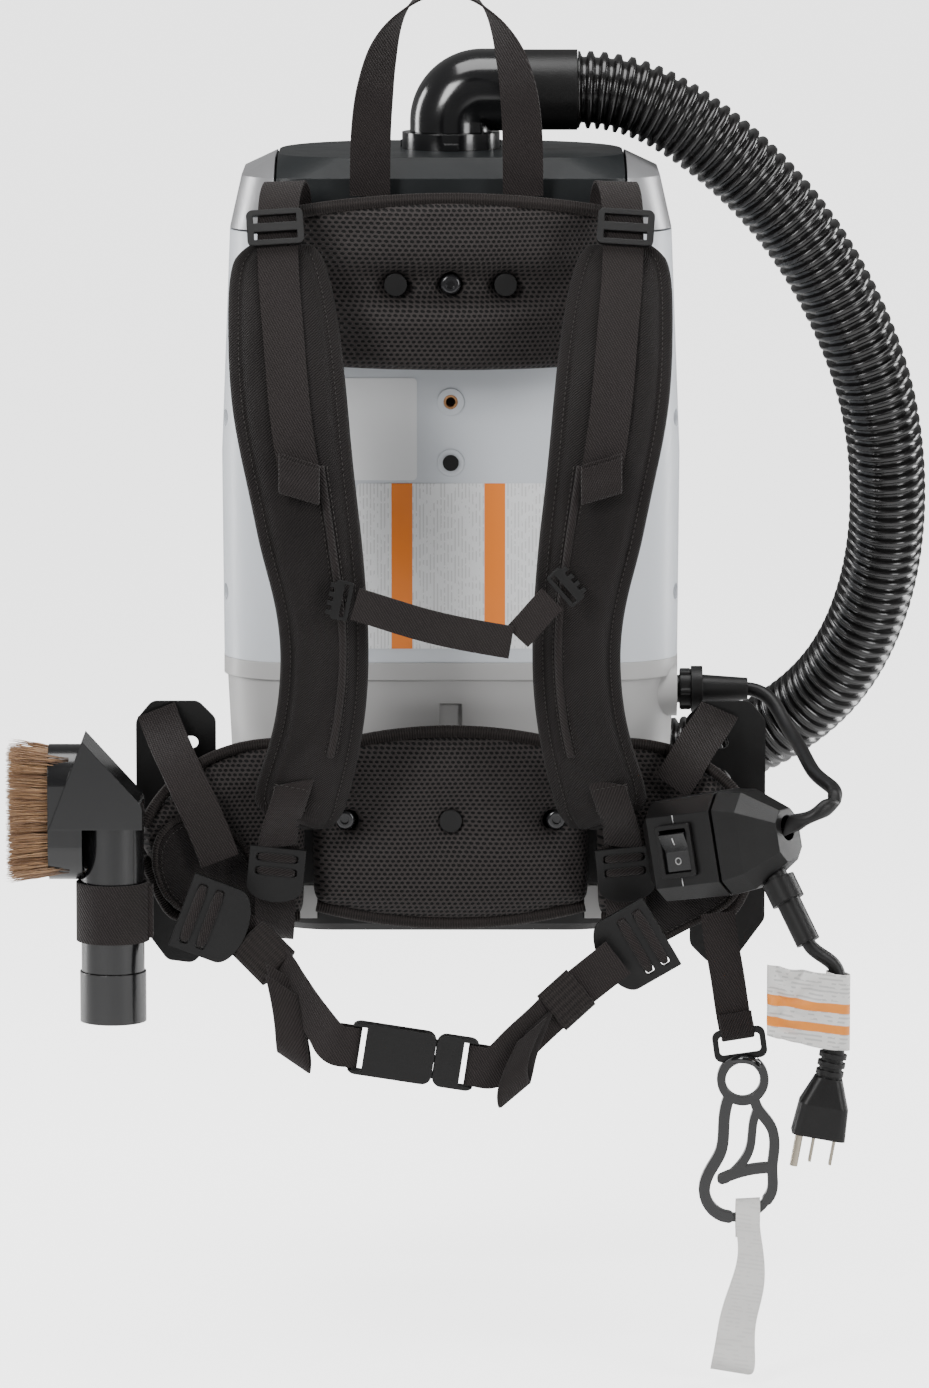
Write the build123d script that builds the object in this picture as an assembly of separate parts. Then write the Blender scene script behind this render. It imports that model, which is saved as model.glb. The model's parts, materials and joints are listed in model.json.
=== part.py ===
"""Backpack vacuum cleaner: rigid two-part housing, lift-off lid with elbow and hose,
padded harness with hip belt, belt-mounted switch box, dusting brush and cord hook.

Units are millimetres.  +Z is up, the wearer's back is on the -Y side, +X is to the
right when the harness is looked at.  The origin is the bottom centre of the housing.
"""
from build123d import *
import math
import os

os.makedirs("parts", exist_ok=True)

# ---------------------------------------------------------------- driving sizes
WALL = 3.0
FRONT_Y = -105.0
BACK_Y = 105.0
FRONT_CORNER = 45.0
BACK_CORNER = 88.0

BASE_TOP = 24.0
SEAM_LOW = 160.0
SEAM_TOP = 171.0
HOUSING_TOP = 440.0
LID_SHOULDER = 474.0
LID_TOP = 486.0

BASE_HALF = 122.0
BASE_TOP_HALF = 132.0
LOWER_MID_HALF = 138.0
SEAM_HALF = 141.5
UPPER_LOW_HALF = 143.0
UPPER_MID_HALF = 144.0
HOUSING_TOP_HALF = 138.5
LID_SHOULDER_HALF = 131.0
LID_TOP_HALF = 108.0

RIM_DEPTH = 18.0
RIM_WALL = 12.0
RUNNING_GAP = 0.1

HOSE_AXIS_Z = 523.0
HOSE_OUTER = 24.5
HOSE_INNER = 21.0
CUFF_OUTER = 25.5
WAND_BORE = 19.05

INSERT_PITCH = 38.1
INSERT_LOWEST = 297.0
INSERT_BORE = 3.0
INSERT_OUTER = 4.5
INSERT_LENGTH = 12.0

WEBBING = 25.0
WEBBING_THICK = 1.6
BELT_WEBBING_THICK = 1.5

PLATE_FRONT = -110.0
PLATE_BACK = -106.4

BRUSH_X = -208.7
BRUSH_Y = -190.0
BRUSH_NECK = 19.5
BRUSH_BORE = 17.2


# ---------------------------------------------------------------- shared helpers
def save(shape, node):
    """Write one node as a STEP file."""
    export_step(shape, f"parts/{node}.step")


def plan(half_width, level, inset=0.0, front=FRONT_Y, back=BACK_Y):
    """Horizontal D-shaped section: tight corners at the wearer, wide ones outside."""
    low = front + inset
    high = back - inset
    half = half_width - inset
    face = Pos(0, (low + high) / 2, level) * Rectangle(2 * half, high - low)
    corners = face.vertices().sort_by(Axis.Y)
    face = fillet(corners[:2], FRONT_CORNER - inset)
    corners = face.vertices().sort_by(Axis.Y)
    return fillet(corners[-2:], BACK_CORNER - inset)


def plan_loft(stations, inset=0.0):
    """Straight-sided body through sections given as (level, half width, front, back)."""
    faces = [plan(half, level, inset, front, back) for level, half, front, back in stations]
    return loft(faces, ruled=True)


def box(x_range, y_range, z_range):
    """Axis-aligned block from its three ranges."""
    size = [b - a for a, b in (x_range, y_range, z_range)]
    middle = [(a + b) / 2 for a, b in (x_range, y_range, z_range)]
    return Pos(*middle) * Box(*size)


def rod(start, end, radius):
    """Round bar between two points."""
    begin = Vector(*start)
    span = Vector(*end) - begin
    return extrude(Plane(begin, z_dir=span) * Circle(radius), span.length)


def tube(start, end, outer, inner):
    """Straight pipe between two points."""
    begin = Vector(*start)
    span = Vector(*end) - begin
    ring = Plane(begin, z_dir=span) * (Circle(outer) - Circle(inner))
    return extrude(ring, span.length)


def path_frames(points, across):
    """Origin, tangent and width direction at each point of a strap's centre line."""
    vectors = [Vector(*p) for p in points]
    frames = []
    last = len(vectors) - 1
    for index, here in enumerate(vectors):
        before = vectors[max(index - 1, 0)]
        after = vectors[min(index + 1, last)]
        tangent = (after - before).normalized()
        hint = Vector(*across[min(index, len(across) - 1)])
        width_dir = (hint - tangent * hint.dot(tangent)).normalized()
        frames.append((here, tangent, width_dir))
    return frames


def strap(points, across, widths, thick, corner=0.0, ruled=False):
    """Flat strap or pad swept through points; one width or a list of widths."""
    sections = []
    for index, (here, tangent, width_dir) in enumerate(path_frames(points, across)):
        width = widths[index] if isinstance(widths, (list, tuple)) else widths
        depth = thick[index] if isinstance(thick, (list, tuple)) else thick
        plane = Plane(here, x_dir=width_dir, z_dir=tangent)
        if corner > 0:
            sections.append(plane * RectangleRounded(width, depth, min(corner, depth * 0.45)))
        else:
            sections.append(plane * Rectangle(width, depth))
    return loft(sections, ruled=ruled)


def webbing(points, across, width, thick, stations=24):
    """Flat webbing along a smooth line, with evenly spaced sections."""
    line = Spline(*[Vector(*p) for p in points])
    even = []
    hints = []
    for step in range(stations + 1):
        share = step / stations
        spot = line.position_at(share)
        even.append((spot.X, spot.Y, spot.Z))
        place = share * (len(points) - 1)
        low = min(int(place), len(points) - 2)
        blend = place - low
        first = Vector(*across[min(low, len(across) - 1)])
        second = Vector(*across[min(low + 1, len(across) - 1)])
        hint = first * (1 - blend) + second * blend
        hints.append((hint.X, hint.Y, hint.Z))
    return strap(even, hints, width, thick)


def stroke(points, width, plane, thick):
    """Plastic rib of constant width that follows a chain of points in a plane."""
    shape = None
    for first, second in zip(points, points[1:]):
        middle = ((first[0] + second[0]) / 2, (first[1] + second[1]) / 2)
        run = math.dist(first, second)
        angle = math.degrees(math.atan2(second[1] - first[1], second[0] - first[0]))
        piece = Pos(*middle) * SlotCenterToCenter(run, width, rotation=angle)
        shape = piece if shape is None else shape + piece
    return extrude(plane * shape, thick / 2, both=True)


def group(solids):
    """Several separate solids that share one node."""
    return Compound(children=list(solids))


def mirror_x(shape):
    """Copy for the other side of the harness."""
    return mirror(shape, about=Plane.YZ)


# ---------------------------------------------------------------- housing
UPPER_STATIONS = [
    (SEAM_TOP, UPPER_LOW_HALF, FRONT_Y, BACK_Y),
    (300.0, UPPER_MID_HALF, FRONT_Y, BACK_Y),
    (HOUSING_TOP, HOUSING_TOP_HALF, FRONT_Y, BACK_Y - 5.0),
]
insert_levels = [INSERT_LOWEST + INSERT_PITCH * step for step in range(4)]
side_screw_levels = (212.0, 322.0)
SIDE_SCREW_Y = -72.0
SCREW_SEAT_DEPTH = 2.6


def lid_envelope(inset):
    """Outer form of the lid, shrunk evenly by inset; two slopes meet at the shoulder."""
    stations = [
        (HOUSING_TOP + 0.5, HOUSING_TOP_HALF - 1.024 * inset, FRONT_Y + inset, 100.0 - inset),
        (LID_SHOULDER - 0.67 * inset, LID_SHOULDER_HALF - 0.876 * inset,
         FRONT_Y + 3.5 + inset, 95.0 - inset),
        (LID_TOP - inset, LID_TOP_HALF - 0.245 * inset, FRONT_Y + 21.0 + 0.25 * inset,
         74.0 - 0.25 * inset),
    ]
    faces = []
    for level, half, front, back in stations:
        face = Pos(0, (front + back) / 2, level) * Rectangle(2 * half, back - front)
        corners = face.vertices().sort_by(Axis.Y)
        face = fillet(corners[:2], FRONT_CORNER - 6.0)
        corners = face.vertices().sort_by(Axis.Y)
        faces.append(fillet(corners[-2:], BACK_CORNER - 14.0))
    return loft(faces, ruled=True)


# latch geometry, shared by the lid recess, the housing rim notch and the latches
LATCH_EDGE_X = 110.0
LATCH_FRONT_Y = -49.0
LATCH_BACK_Y = 60.0
LATCH_PIVOT_X = 134.2
LATCH_PIVOT_Z = 433.6
LATCH_THICK = 3.5
LATCH_RECESS = 5.2
LATCH_BARREL = 3.4
LATCH_PIN = 2.0
LATCH_PIN_LENGTH = 4.0

upper_outer = plan_loft(UPPER_STATIONS)
upper_inner = plan_loft(UPPER_STATIONS, WALL)
rim_zone = box((-200, 200), (-200, 200), (HOUSING_TOP - RIM_DEPTH, HOUSING_TOP + 5))
rim_inner = plan_loft(UPPER_STATIONS, RIM_WALL)
upper_housing = upper_outer - (upper_inner - rim_zone) - (rim_inner & rim_zone)

for level in insert_levels:
    boss = rod((0, FRONT_Y + WALL + INSERT_LENGTH, level), (0, FRONT_Y - 1.0, level), 8.5)
    seat = rod((0, FRONT_Y + 40, level), (0, FRONT_Y - 5, level), INSERT_OUTER)
    upper_housing = (upper_housing + boss) - seat

side_screws = []
for side in (-1, 1):
    for level in side_screw_levels:
        surface = 139.2
        pillar = rod((side * (surface - 16), SIDE_SCREW_Y, level),
                     (side * (surface + 6), SIDE_SCREW_Y, level), 8.0)
        upper_housing = upper_housing + (pillar & upper_outer)
        well = rod((side * (surface - SCREW_SEAT_DEPTH - 2.0), SIDE_SCREW_Y, level),
                   (side * (surface + 8), SIDE_SCREW_Y, level), 5.2)
        bore = rod((side * (surface - 20), SIDE_SCREW_Y, level),
                   (side * surface, SIDE_SCREW_Y, level), 2.2)
        upper_housing = upper_housing - well - bore
        seat_x = surface - SCREW_SEAT_DEPTH - 2.0
        head = rod((side * seat_x, SIDE_SCREW_Y, level),
                   (side * (seat_x + 2.4), SIDE_SCREW_Y, level), 4.4)
        shank = rod((side * (seat_x - 13), SIDE_SCREW_Y, level),
                    (side * seat_x, SIDE_SCREW_Y, level), 2.1)
        drive = rod((side * (seat_x + 1.2), SIDE_SCREW_Y, level),
                    (side * (seat_x + 3), SIDE_SCREW_Y, level), 1.6)
        side_screws.append(head + shank - drive)

for side in (-1, 1):
    notch = box((130.0, 160.0), (LATCH_FRONT_Y - 1.0, LATCH_BACK_Y + 1.0),
                (LATCH_PIVOT_Z - 4.2, HOUSING_TOP + 5))
    pin_hole = rod((LATCH_PIVOT_X, LATCH_FRONT_Y - 6, LATCH_PIVOT_Z),
                   (LATCH_PIVOT_X, LATCH_BACK_Y + 6, LATCH_PIVOT_Z), LATCH_PIN + RUNNING_GAP)
    if side < 0:
        notch = mirror_x(notch)
        pin_hole = mirror_x(pin_hole)
    upper_housing = upper_housing - notch - pin_hole
save(upper_housing, "upper_housing")

# ---------------------------------------------------------------- lower housing
LOWER_STATIONS = [
    (BASE_TOP, BASE_TOP_HALF, FRONT_Y + 1.0, BACK_Y - 3.0),
    (100.0, LOWER_MID_HALF, FRONT_Y + 0.5, BACK_Y - 1.0),
    (SEAM_TOP, SEAM_HALF, FRONT_Y, BACK_Y),
]
LUMBAR_SCREW_X = 66.0
LUMBAR_SCREW_Z = 77.0
DECK_LOW = 150.0
DECK_TOP = 154.0
INLET_Y = -72.0
INLET_Z = 150.0
INLET_HOLE = 9.0
lug_spans = ((-100.0, -84.0), (84.0, 100.0))

lower_outer = plan_loft(LOWER_STATIONS)
lower_inner = plan_loft(LOWER_STATIONS, WALL)
lower_housing = lower_outer - lower_inner
band_outer = extrude(plan(SEAM_HALF + 1.6, SEAM_LOW, 0.0, FRONT_Y - 1.4, BACK_Y + 1.4),
                     SEAM_TOP - SEAM_LOW)
band_inner = extrude(plan(SEAM_HALF - WALL + 0.4, SEAM_LOW, 0.0, FRONT_Y + WALL - 0.4,
                          BACK_Y - WALL + 0.4), SEAM_TOP - SEAM_LOW)
lower_housing = lower_housing + (band_outer - band_inner)
deck = extrude(plan(LOWER_MID_HALF, DECK_LOW, 0.0, FRONT_Y + 1.5, BACK_Y - 1.5), DECK_TOP - DECK_LOW)
lower_housing = lower_housing + (deck - rod((0, 0, DECK_LOW - 1), (0, 0, DECK_TOP + 1), 38.0))
finger_slot = box((-7.0, 7.0), (FRONT_Y - 2, FRONT_Y + 2.4), (125.0, 145.0))
lower_housing = lower_housing - finger_slot
for left, right in lug_spans:
    lower_housing = lower_housing + box((left, right), (FRONT_Y - 1.0, FRONT_Y + 3.0), (9.0, 30.0))
for side in (-1, 1):
    boss = rod((side * LUMBAR_SCREW_X, FRONT_Y + WALL + INSERT_LENGTH, LUMBAR_SCREW_Z),
               (side * LUMBAR_SCREW_X, FRONT_Y - 0.6, LUMBAR_SCREW_Z), 8.5)
    seat = rod((side * LUMBAR_SCREW_X, FRONT_Y + 40, LUMBAR_SCREW_Z),
               (side * LUMBAR_SCREW_X, FRONT_Y - 5, LUMBAR_SCREW_Z), INSERT_OUTER)
    lower_housing = (lower_housing + boss) - seat
inlet_boss = rod((122, INLET_Y, INLET_Z), (142.4, INLET_Y, INLET_Z), 17.0)
inlet_bore = rod((100, INLET_Y, INLET_Z), (150, INLET_Y, INLET_Z), INLET_HOLE)
lower_housing = lower_housing + inlet_boss - inlet_bore
save(lower_housing, "lower_housing")

# ---------------------------------------------------------------- base cover
BASE_STATIONS = [
    (0.0, BASE_HALF - 5.0, FRONT_Y + 8.0, BACK_Y - 12.0),
    (5.0, BASE_HALF, FRONT_Y + 3.0, BACK_Y - 7.0),
    (BASE_TOP, BASE_TOP_HALF, FRONT_Y + 1.0, BACK_Y - 3.0),
]
base_outer = plan_loft(BASE_STATIONS)
base_core = plan_loft(BASE_STATIONS, WALL)
base_cover = base_outer - (base_core - box((-200, 200), (-200, 200), (-5, WALL)))
for row in range(7):
    vent_y = -42.0 + 12.0 * row
    vent = Pos(0, vent_y, 0) * extrude(SlotOverall(110, 5), 20, both=True)
    base_cover = base_cover - vent
for left, right in lug_spans:
    base_cover = base_cover - box((left - 0.5, right + 0.5), (FRONT_Y - 6, FRONT_Y + 3.4),
                                  (8.5, BASE_TOP + 5))
save(base_cover, "base_cover")

# ---------------------------------------------------------------- inserts and plugs
def threaded_insert(x, z):
    """Brass insert set flush in a front boss."""
    return tube((x, FRONT_Y - 0.6, z), (x, FRONT_Y - 0.6 + INSERT_LENGTH, z),
                INSERT_OUTER, INSERT_BORE)


inserts = [threaded_insert(0, level) for level in insert_levels]
inserts += [threaded_insert(side * LUMBAR_SCREW_X, LUMBAR_SCREW_Z) for side in (-1, 1)]
save(group(inserts), "brass_inserts")

# ---------------------------------------------------------------- blank labels
label_y = FRONT_Y - 0.45
info_label = Plane((16, label_y, 232), x_dir=(1, 0, 0), z_dir=(0, -1, 0)) * RectangleRounded(150, 104, 3)
rating_label = Plane((-46, label_y, 318), x_dir=(1, 0, 0), z_dir=(0, -1, 0)) * RectangleRounded(50, 64, 3)
save(group([extrude(info_label, -0.4), extrude(rating_label, -0.4)]), "blank_labels")

# ---------------------------------------------------------------- inside the housing
def filter_bag_shape():
    """Paper bag, filled, hanging in the dust chamber below its collar."""
    stations = [(212, 92), (232, 112), (330, 122), (400, 112), (424, 60)]
    faces = []
    for level, half in stations:
        sheet = Rectangle(2 * half, 2 * half * 0.66)
        faces.append(Pos(0, 0, level) * fillet(sheet.vertices(), half * 0.4))
    return loft(faces)


filter_bag = filter_bag_shape() + rod((0, 0, 423), (0, 0, 434), 34.0)
filter_bag = filter_bag - rod((0, 0, 300), (0, 0, 440), 20.0)
save(filter_bag, "filter_bag")

dome_outer = Sphere(52) & box((-60, 60), (-60, 60), (0, 60))
dome_inner = Sphere(47) & box((-60, 60), (-60, 60), (-1, 60))
dome_filter = Pos(0, 0, DECK_TOP + 0.2) * (dome_outer - dome_inner)
dome_filter = dome_filter + tube((0, 0, DECK_TOP + 0.2), (0, 0, DECK_TOP + 5), 62, 46.5)
save(dome_filter, "dome_filter")

MOTOR_LOW = 62.0
FAN_LOW = 106.0
motor_can = tube((0, 0, MOTOR_LOW), (0, 0, FAN_LOW), 52, 49)
can_floor = tube((0, 0, MOTOR_LOW), (0, 0, MOTOR_LOW + 4), 50, 6)
low_seat = tube((0, 0, MOTOR_LOW), (0, 0, MOTOR_LOW + 12), 15, 11.02)
low_stop = tube((0, 0, MOTOR_LOW), (0, 0, MOTOR_LOW + 4), 15, 6)
fan_floor = tube((0, 0, FAN_LOW - 4), (0, 0, FAN_LOW), 72, 13)
top_seat = tube((0, 0, FAN_LOW - 9), (0, 0, FAN_LOW), 15, 11.02)
top_stop = tube((0, 0, FAN_LOW - 2), (0, 0, FAN_LOW), 15, 6)
fan_shell = tube((0, 0, FAN_LOW - 4), (0, 0, DECK_LOW - 4), 72, 69)
fan_lid = tube((0, 0, DECK_LOW - 4.2), (0, 0, DECK_LOW - 0.2), 84, 30)
motor_housing = motor_can + can_floor + low_seat + low_stop + fan_floor
motor_housing = motor_housing + top_seat + top_stop + fan_shell + fan_lid
for step in range(8):
    port = Rot(0, 0, 45 * step) * box((40, 60), (-7, 7), (MOTOR_LOW + 20, MOTOR_LOW + 32))
    outlet = Rot(0, 0, 45 * step + 22.5) * box((60, 80), (-9, 9), (FAN_LOW + 6, FAN_LOW + 16))
    motor_housing = motor_housing - port - outlet
save(motor_housing, "motor_housing")

SHAFT = 3.96
bearing_levels = (MOTOR_LOW + 4.1, FAN_LOW - 9.1)
bearings = [tube((0, 0, level), (0, 0, level + 7), 11.0, 4.0) for level in bearing_levels]
save(group(bearings), "motor_bearings")

stator = tube((0, 0, 76), (0, 0, 95), 48.5, 24)
for step in range(4):
    stator = stator - Rot(0, 0, 90 * step + 45) * box((26, 42), (-8, 8), (70, 100))
save(stator, "motor_stator")

fan_wheel = rod((0, 0, 64.5), (0, 0, 136), SHAFT)
fan_wheel = fan_wheel + rod((0, 0, 77), (0, 0, 94), 23.2)
fan_wheel = fan_wheel + rod((0, 0, 112), (0, 0, 115), 62)
fan_wheel = fan_wheel + rod((0, 0, 112), (0, 0, 134), 9)
fan_wheel = fan_wheel + tube((0, 0, 130), (0, 0, 132), 62, 24)
for step in range(9):
    blade = Rot(0, 0, 40 * step) * Pos(38, 0, 123) * Rot(0, 0, 28) * Box(46, 2, 18)
    fan_wheel = fan_wheel + (blade & rod((0, 0, 113), (0, 0, 131), 61.5))
save(fan_wheel, "fan_wheel")

exhaust_filter = extrude(plan(BASE_TOP_HALF - 6, 30.0, 0.0, FRONT_Y + 8, BACK_Y - 10), 22)
save(exhaust_filter, "exhaust_filter")

# ---------------------------------------------------------------- lid and latches
latch_zone = box((LATCH_EDGE_X, 200), (-200, LATCH_BACK_Y), (HOUSING_TOP + 1.4, LID_TOP - 1.6))
recess_zone = box((LATCH_EDGE_X - 1.6, 200), (-200, LATCH_BACK_Y + 1.6), (HOUSING_TOP - 5, LID_TOP + 5))
recess_zone = recess_zone + mirror_x(recess_zone)
lid_solid = lid_envelope(0.0)
lid_core = lid_envelope(LATCH_RECESS)
lid_room = lid_envelope(LATCH_RECESS + WALL)
lid = (lid_solid - recess_zone) + (lid_core & lid_solid)
lid = lid - lid_room
lid = lid + extrude(plan(131.5, HOUSING_TOP + 0.5, 0.0, FRONT_Y + 7.5, BACK_Y - 12), 2.6)
lid = lid - extrude(plan(112.0, HOUSING_TOP - 1, 0.0, FRONT_Y + 24, BACK_Y - 30), 8)
NECK = 24.4
lid = lid - rod((0, 0, HOUSING_TOP), (0, 0, LID_TOP + 5), NECK + RUNNING_GAP)
save(lid, "lid")

gasket = extrude(plan(HOUSING_TOP_HALF - 3.0, HOUSING_TOP, 0.0, FRONT_Y + 6.8, 92.0)
                 - plan(HOUSING_TOP_HALF - 11.0, HOUSING_TOP, 0.0, FRONT_Y + 15.0, 84.0), 0.5)
for side in (-1, 1):
    strip = box((129.0, 160.0), (LATCH_FRONT_Y - 3.0, LATCH_BACK_Y + 3.0), (430.0, 450.0))
    gasket = gasket - (strip if side > 0 else mirror_x(strip))
save(gasket, "lid_gasket")

RING_TOP = 496.5
elbow_ring = tube((0, 0, LID_TOP), (0, 0, RING_TOP), 31.0, NECK + RUNNING_GAP)
for step in range(3):
    lug = Rot(0, 0, 120 * step + 30) * Pos(31.5, 0, (LID_TOP + RING_TOP) / 2 - 3)
    elbow_ring = elbow_ring + lug * Box(6, 9, RING_TOP - LID_TOP - 6)
save(elbow_ring, "elbow_ring")

latch_shell = (lid_envelope(0.0) - lid_envelope(LATCH_THICK)) & latch_zone
side_plate = box((LATCH_PIVOT_X - 0.4, LATCH_PIVOT_X + 3.4),
                 (LATCH_FRONT_Y, LATCH_BACK_Y), (LATCH_PIVOT_Z, HOUSING_TOP + 5.0))
barrel = rod((LATCH_PIVOT_X, LATCH_FRONT_Y, LATCH_PIVOT_Z),
             (LATCH_PIVOT_X, LATCH_BACK_Y, LATCH_PIVOT_Z), LATCH_BARREL)
pins = rod((LATCH_PIVOT_X, LATCH_FRONT_Y - LATCH_PIN_LENGTH, LATCH_PIVOT_Z),
           (LATCH_PIVOT_X, LATCH_BACK_Y + LATCH_PIN_LENGTH, LATCH_PIVOT_Z), LATCH_PIN)
latch_right = latch_shell + side_plate + barrel + pins
save(latch_right, "latch_right")
save(mirror_x(latch_right), "latch_left")

# ---------------------------------------------------------------- elbow
ELBOW_OUTER = 26.0
ELBOW_INNER = 22.0
BEND = 20.0
BEND_START = HOSE_AXIS_Z - BEND
OUTLET_X = 44.0


def elbow_form(radius, neck_low, outlet_end):
    """Sharp-throated 90 degree pipe from +Z to +X with an outer sweep of BEND + radius."""
    slice_plane = Plane((0, 0, BEND_START), x_dir=(1, 0, 0), z_dir=(0, 0, 1))
    throat = slice_plane * (Circle(radius) & (Pos(-50 + BEND, 0) * Rectangle(100, 200)))
    sweep_axis = Axis((BEND, 0, BEND_START), (0, 1, 0))
    bend = revolve(throat, sweep_axis, 90)
    neck = rod((0, 0, neck_low), (0, 0, BEND_START), radius)
    outlet = rod((BEND, 0, HOSE_AXIS_Z), (outlet_end, 0, HOSE_AXIS_Z), radius)
    return bend + neck + outlet


elbow = elbow_form(ELBOW_OUTER, RING_TOP + 0.3, OUTLET_X)
elbow = elbow + rod((0, 0, LID_TOP - 12.0), (0, 0, RING_TOP + 0.4), NECK)
elbow = elbow + rod((0, 0, LID_TOP - 12.0), (0, 0, LID_TOP - LATCH_RECESS - WALL - 0.4), 29.0)
elbow = elbow - elbow_form(ELBOW_INNER - 1.5, LID_TOP - 20.0, OUTLET_X - 14.0)
elbow = elbow - rod((OUTLET_X - 15.0, 0, HOSE_AXIS_Z), (OUTLET_X + 5, 0, HOSE_AXIS_Z), ELBOW_INNER)
save(elbow, "elbow")

# ---------------------------------------------------------------- hose and its cuffs
CUFF_END = 80.0
SPIGOT = 19.8
swivel_cuff = tube((OUTLET_X + 0.3, 0, HOSE_AXIS_Z), (CUFF_END, 0, HOSE_AXIS_Z), CUFF_OUTER, 18.0)
swivel_cuff = swivel_cuff + tube((OUTLET_X - 13.5, 0, HOSE_AXIS_Z), (OUTLET_X + 1, 0, HOSE_AXIS_Z),
                                 ELBOW_INNER - RUNNING_GAP, 18.0)
swivel_cuff = swivel_cuff + tube((CUFF_END - 1, 0, HOSE_AXIS_Z), (CUFF_END + 8, 0, HOSE_AXIS_Z),
                                 SPIGOT, 18.0)

HOSE_TAIL = (-62.0, 176.0, 66.0)
hose_points = [
    (CUFF_END + 0.2, 0, HOSE_AXIS_Z),
    (92, 0, 522.6),
    (112, 0.6, 519),
    (136, 2.3, 509),
    (162, 5, 492),
    (197, 12, 461),
    (229, 20, 421),
    (255, 30, 374),
    (272, 42, 328),
    (281, 58, 274),
    (281, 76, 227),
    (272, 98, 178),
    (253, 122, 135),
    (226, 144, 104),
    (190, 160, 82),
    (140, 171, 71),
    (90, 175, 67),
    (40, 176, 66),
    (-10, 176, 66),
    HOSE_TAIL,
]
hose_path = Spline(*[Vector(*p) for p in hose_points])
HOSE_STATIONS = 24
CORE_OVERRUN = 2.0


def hose_body(radius, overrun):
    """Round body of the given radius along the hose's centre line, longer by overrun at each end."""
    faces = []
    for step in range(HOSE_STATIONS + 1):
        share = step / HOSE_STATIONS
        centre = hose_path.position_at(share)
        along = hose_path.tangent_at(share)
        if step == 0:
            along = Vector(1, 0, 0)
            centre = centre - along * overrun
        if step == HOSE_STATIONS:
            along = Vector(-1, 0, 0)
            centre = centre + along * overrun
        faces.append(Plane(centre, x_dir=(0, 1, 0.2), z_dir=along) * Circle(radius))
    return loft(faces)


hose = hose_body(HOSE_OUTER, 0) - hose_body(HOSE_INNER, CORE_OVERRUN)
save(hose, "hose")

tail_x, tail_y, tail_z = HOSE_TAIL
wand_cuff = tube((tail_x - 0.3, tail_y, tail_z), (tail_x - 56, tail_y, tail_z), 23.0, WAND_BORE)
wand_cuff = wand_cuff + tube((tail_x - 0.3, tail_y, tail_z), (tail_x - 10, tail_y, tail_z), 26.0, 18.0)
wand_cuff = wand_cuff + tube((tail_x - 1, tail_y, tail_z), (tail_x + 8, tail_y, tail_z), SPIGOT, 18.0)
save(group([swivel_cuff, wand_cuff]), "hose_cuffs")

# ---------------------------------------------------------------- upper harness
PAD_BACK = -114.6
PAD_LOW = 358.0
PAD_TOP = 464.0
SCREW_LEVEL = insert_levels[3]
PLUG_X = 34.0

bracket_sketch = Plane((0, PLATE_FRONT, 420), x_dir=(1, 0, 0), z_dir=(0, -1, 0)) * (
    RectangleRounded(196, 66, 10) - Pos(0, SCREW_LEVEL - 420) * Circle(3.4)
    - Pos(-62, 22) * SlotOverall(30, 6) - Pos(62, 22) * SlotOverall(30, 6))
pad_bracket = extrude(bracket_sketch, PLATE_BACK - PLATE_FRONT, dir=(0, 1, 0))
save(pad_bracket, "pad_bracket")

pad_profile = make_face(
    Curve() + [
        Line((-105, PAD_BACK), (105, PAD_BACK)),
        Line((105, PAD_BACK), (105, -121)),
        ThreePointArc((105, -121), (0, -150), (-105, -121)),
        Line((-105, -121), (-105, PAD_BACK)),
    ])
upper_pad = extrude(Pos(0, 0, PAD_LOW) * pad_profile, PAD_TOP - PAD_LOW)
front_rims = [e for e in upper_pad.edges() if e.geom_type == GeomType.CIRCLE]
upper_pad = fillet(front_rims, 6.0)
for x, radius in ((0, 8.0), (-PLUG_X, 7.3), (PLUG_X, 7.3)):
    upper_pad = upper_pad - rod((x, -170, SCREW_LEVEL), (x, -100, SCREW_LEVEL), radius)
save(upper_pad, "upper_pad")


UPPER_SCREW_FACE = -139.0
LUMBAR_SCREW_FACE = -142.0


def harness_screw(x, z, face):
    """Tall-headed screw: its barrel head passes through the pad and clamps the harness plate."""
    shank = rod((x, PLATE_FRONT - 0.2, z), (x, FRONT_Y + 10, z), 2.9)
    head = rod((x, PLATE_FRONT - 0.2, z), (x, face, z), 6.4)
    crown = head.edges().sort_by(Axis.Y)[0]
    head = fillet(crown, 2.2)
    recess = rod((x, face + 3.0, z), (x, face - 3, z), 2.6)
    return shank + head - recess


screws = [harness_screw(0, SCREW_LEVEL, UPPER_SCREW_FACE)]
screws += [harness_screw(side * LUMBAR_SCREW_X, LUMBAR_SCREW_Z, LUMBAR_SCREW_FACE) for side in (-1, 1)]
save(group(screws + side_screws), "screws")


def round_plug(x, front, back, z):
    """Dark round plug with a slightly wider crown."""
    return rod((x, front, z), (x, back, z), 7.0)


plugs = [round_plug(x, -140, PLATE_FRONT - 0.2, SCREW_LEVEL) for x in (-PLUG_X, PLUG_X)]
plugs.append(round_plug(0, -146, PLATE_FRONT - 0.4, LUMBAR_SCREW_Z))
plugs.append(rod((0, FRONT_Y - 1.5, INSERT_LOWEST), (0, FRONT_Y + 8, INSERT_LOWEST), INSERT_BORE - 0.1)
             + rod((0, FRONT_Y - 2.6, INSERT_LOWEST), (0, FRONT_Y - 1.1, INSERT_LOWEST), 5.0))
save(group(plugs), "screw_plugs")

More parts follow.
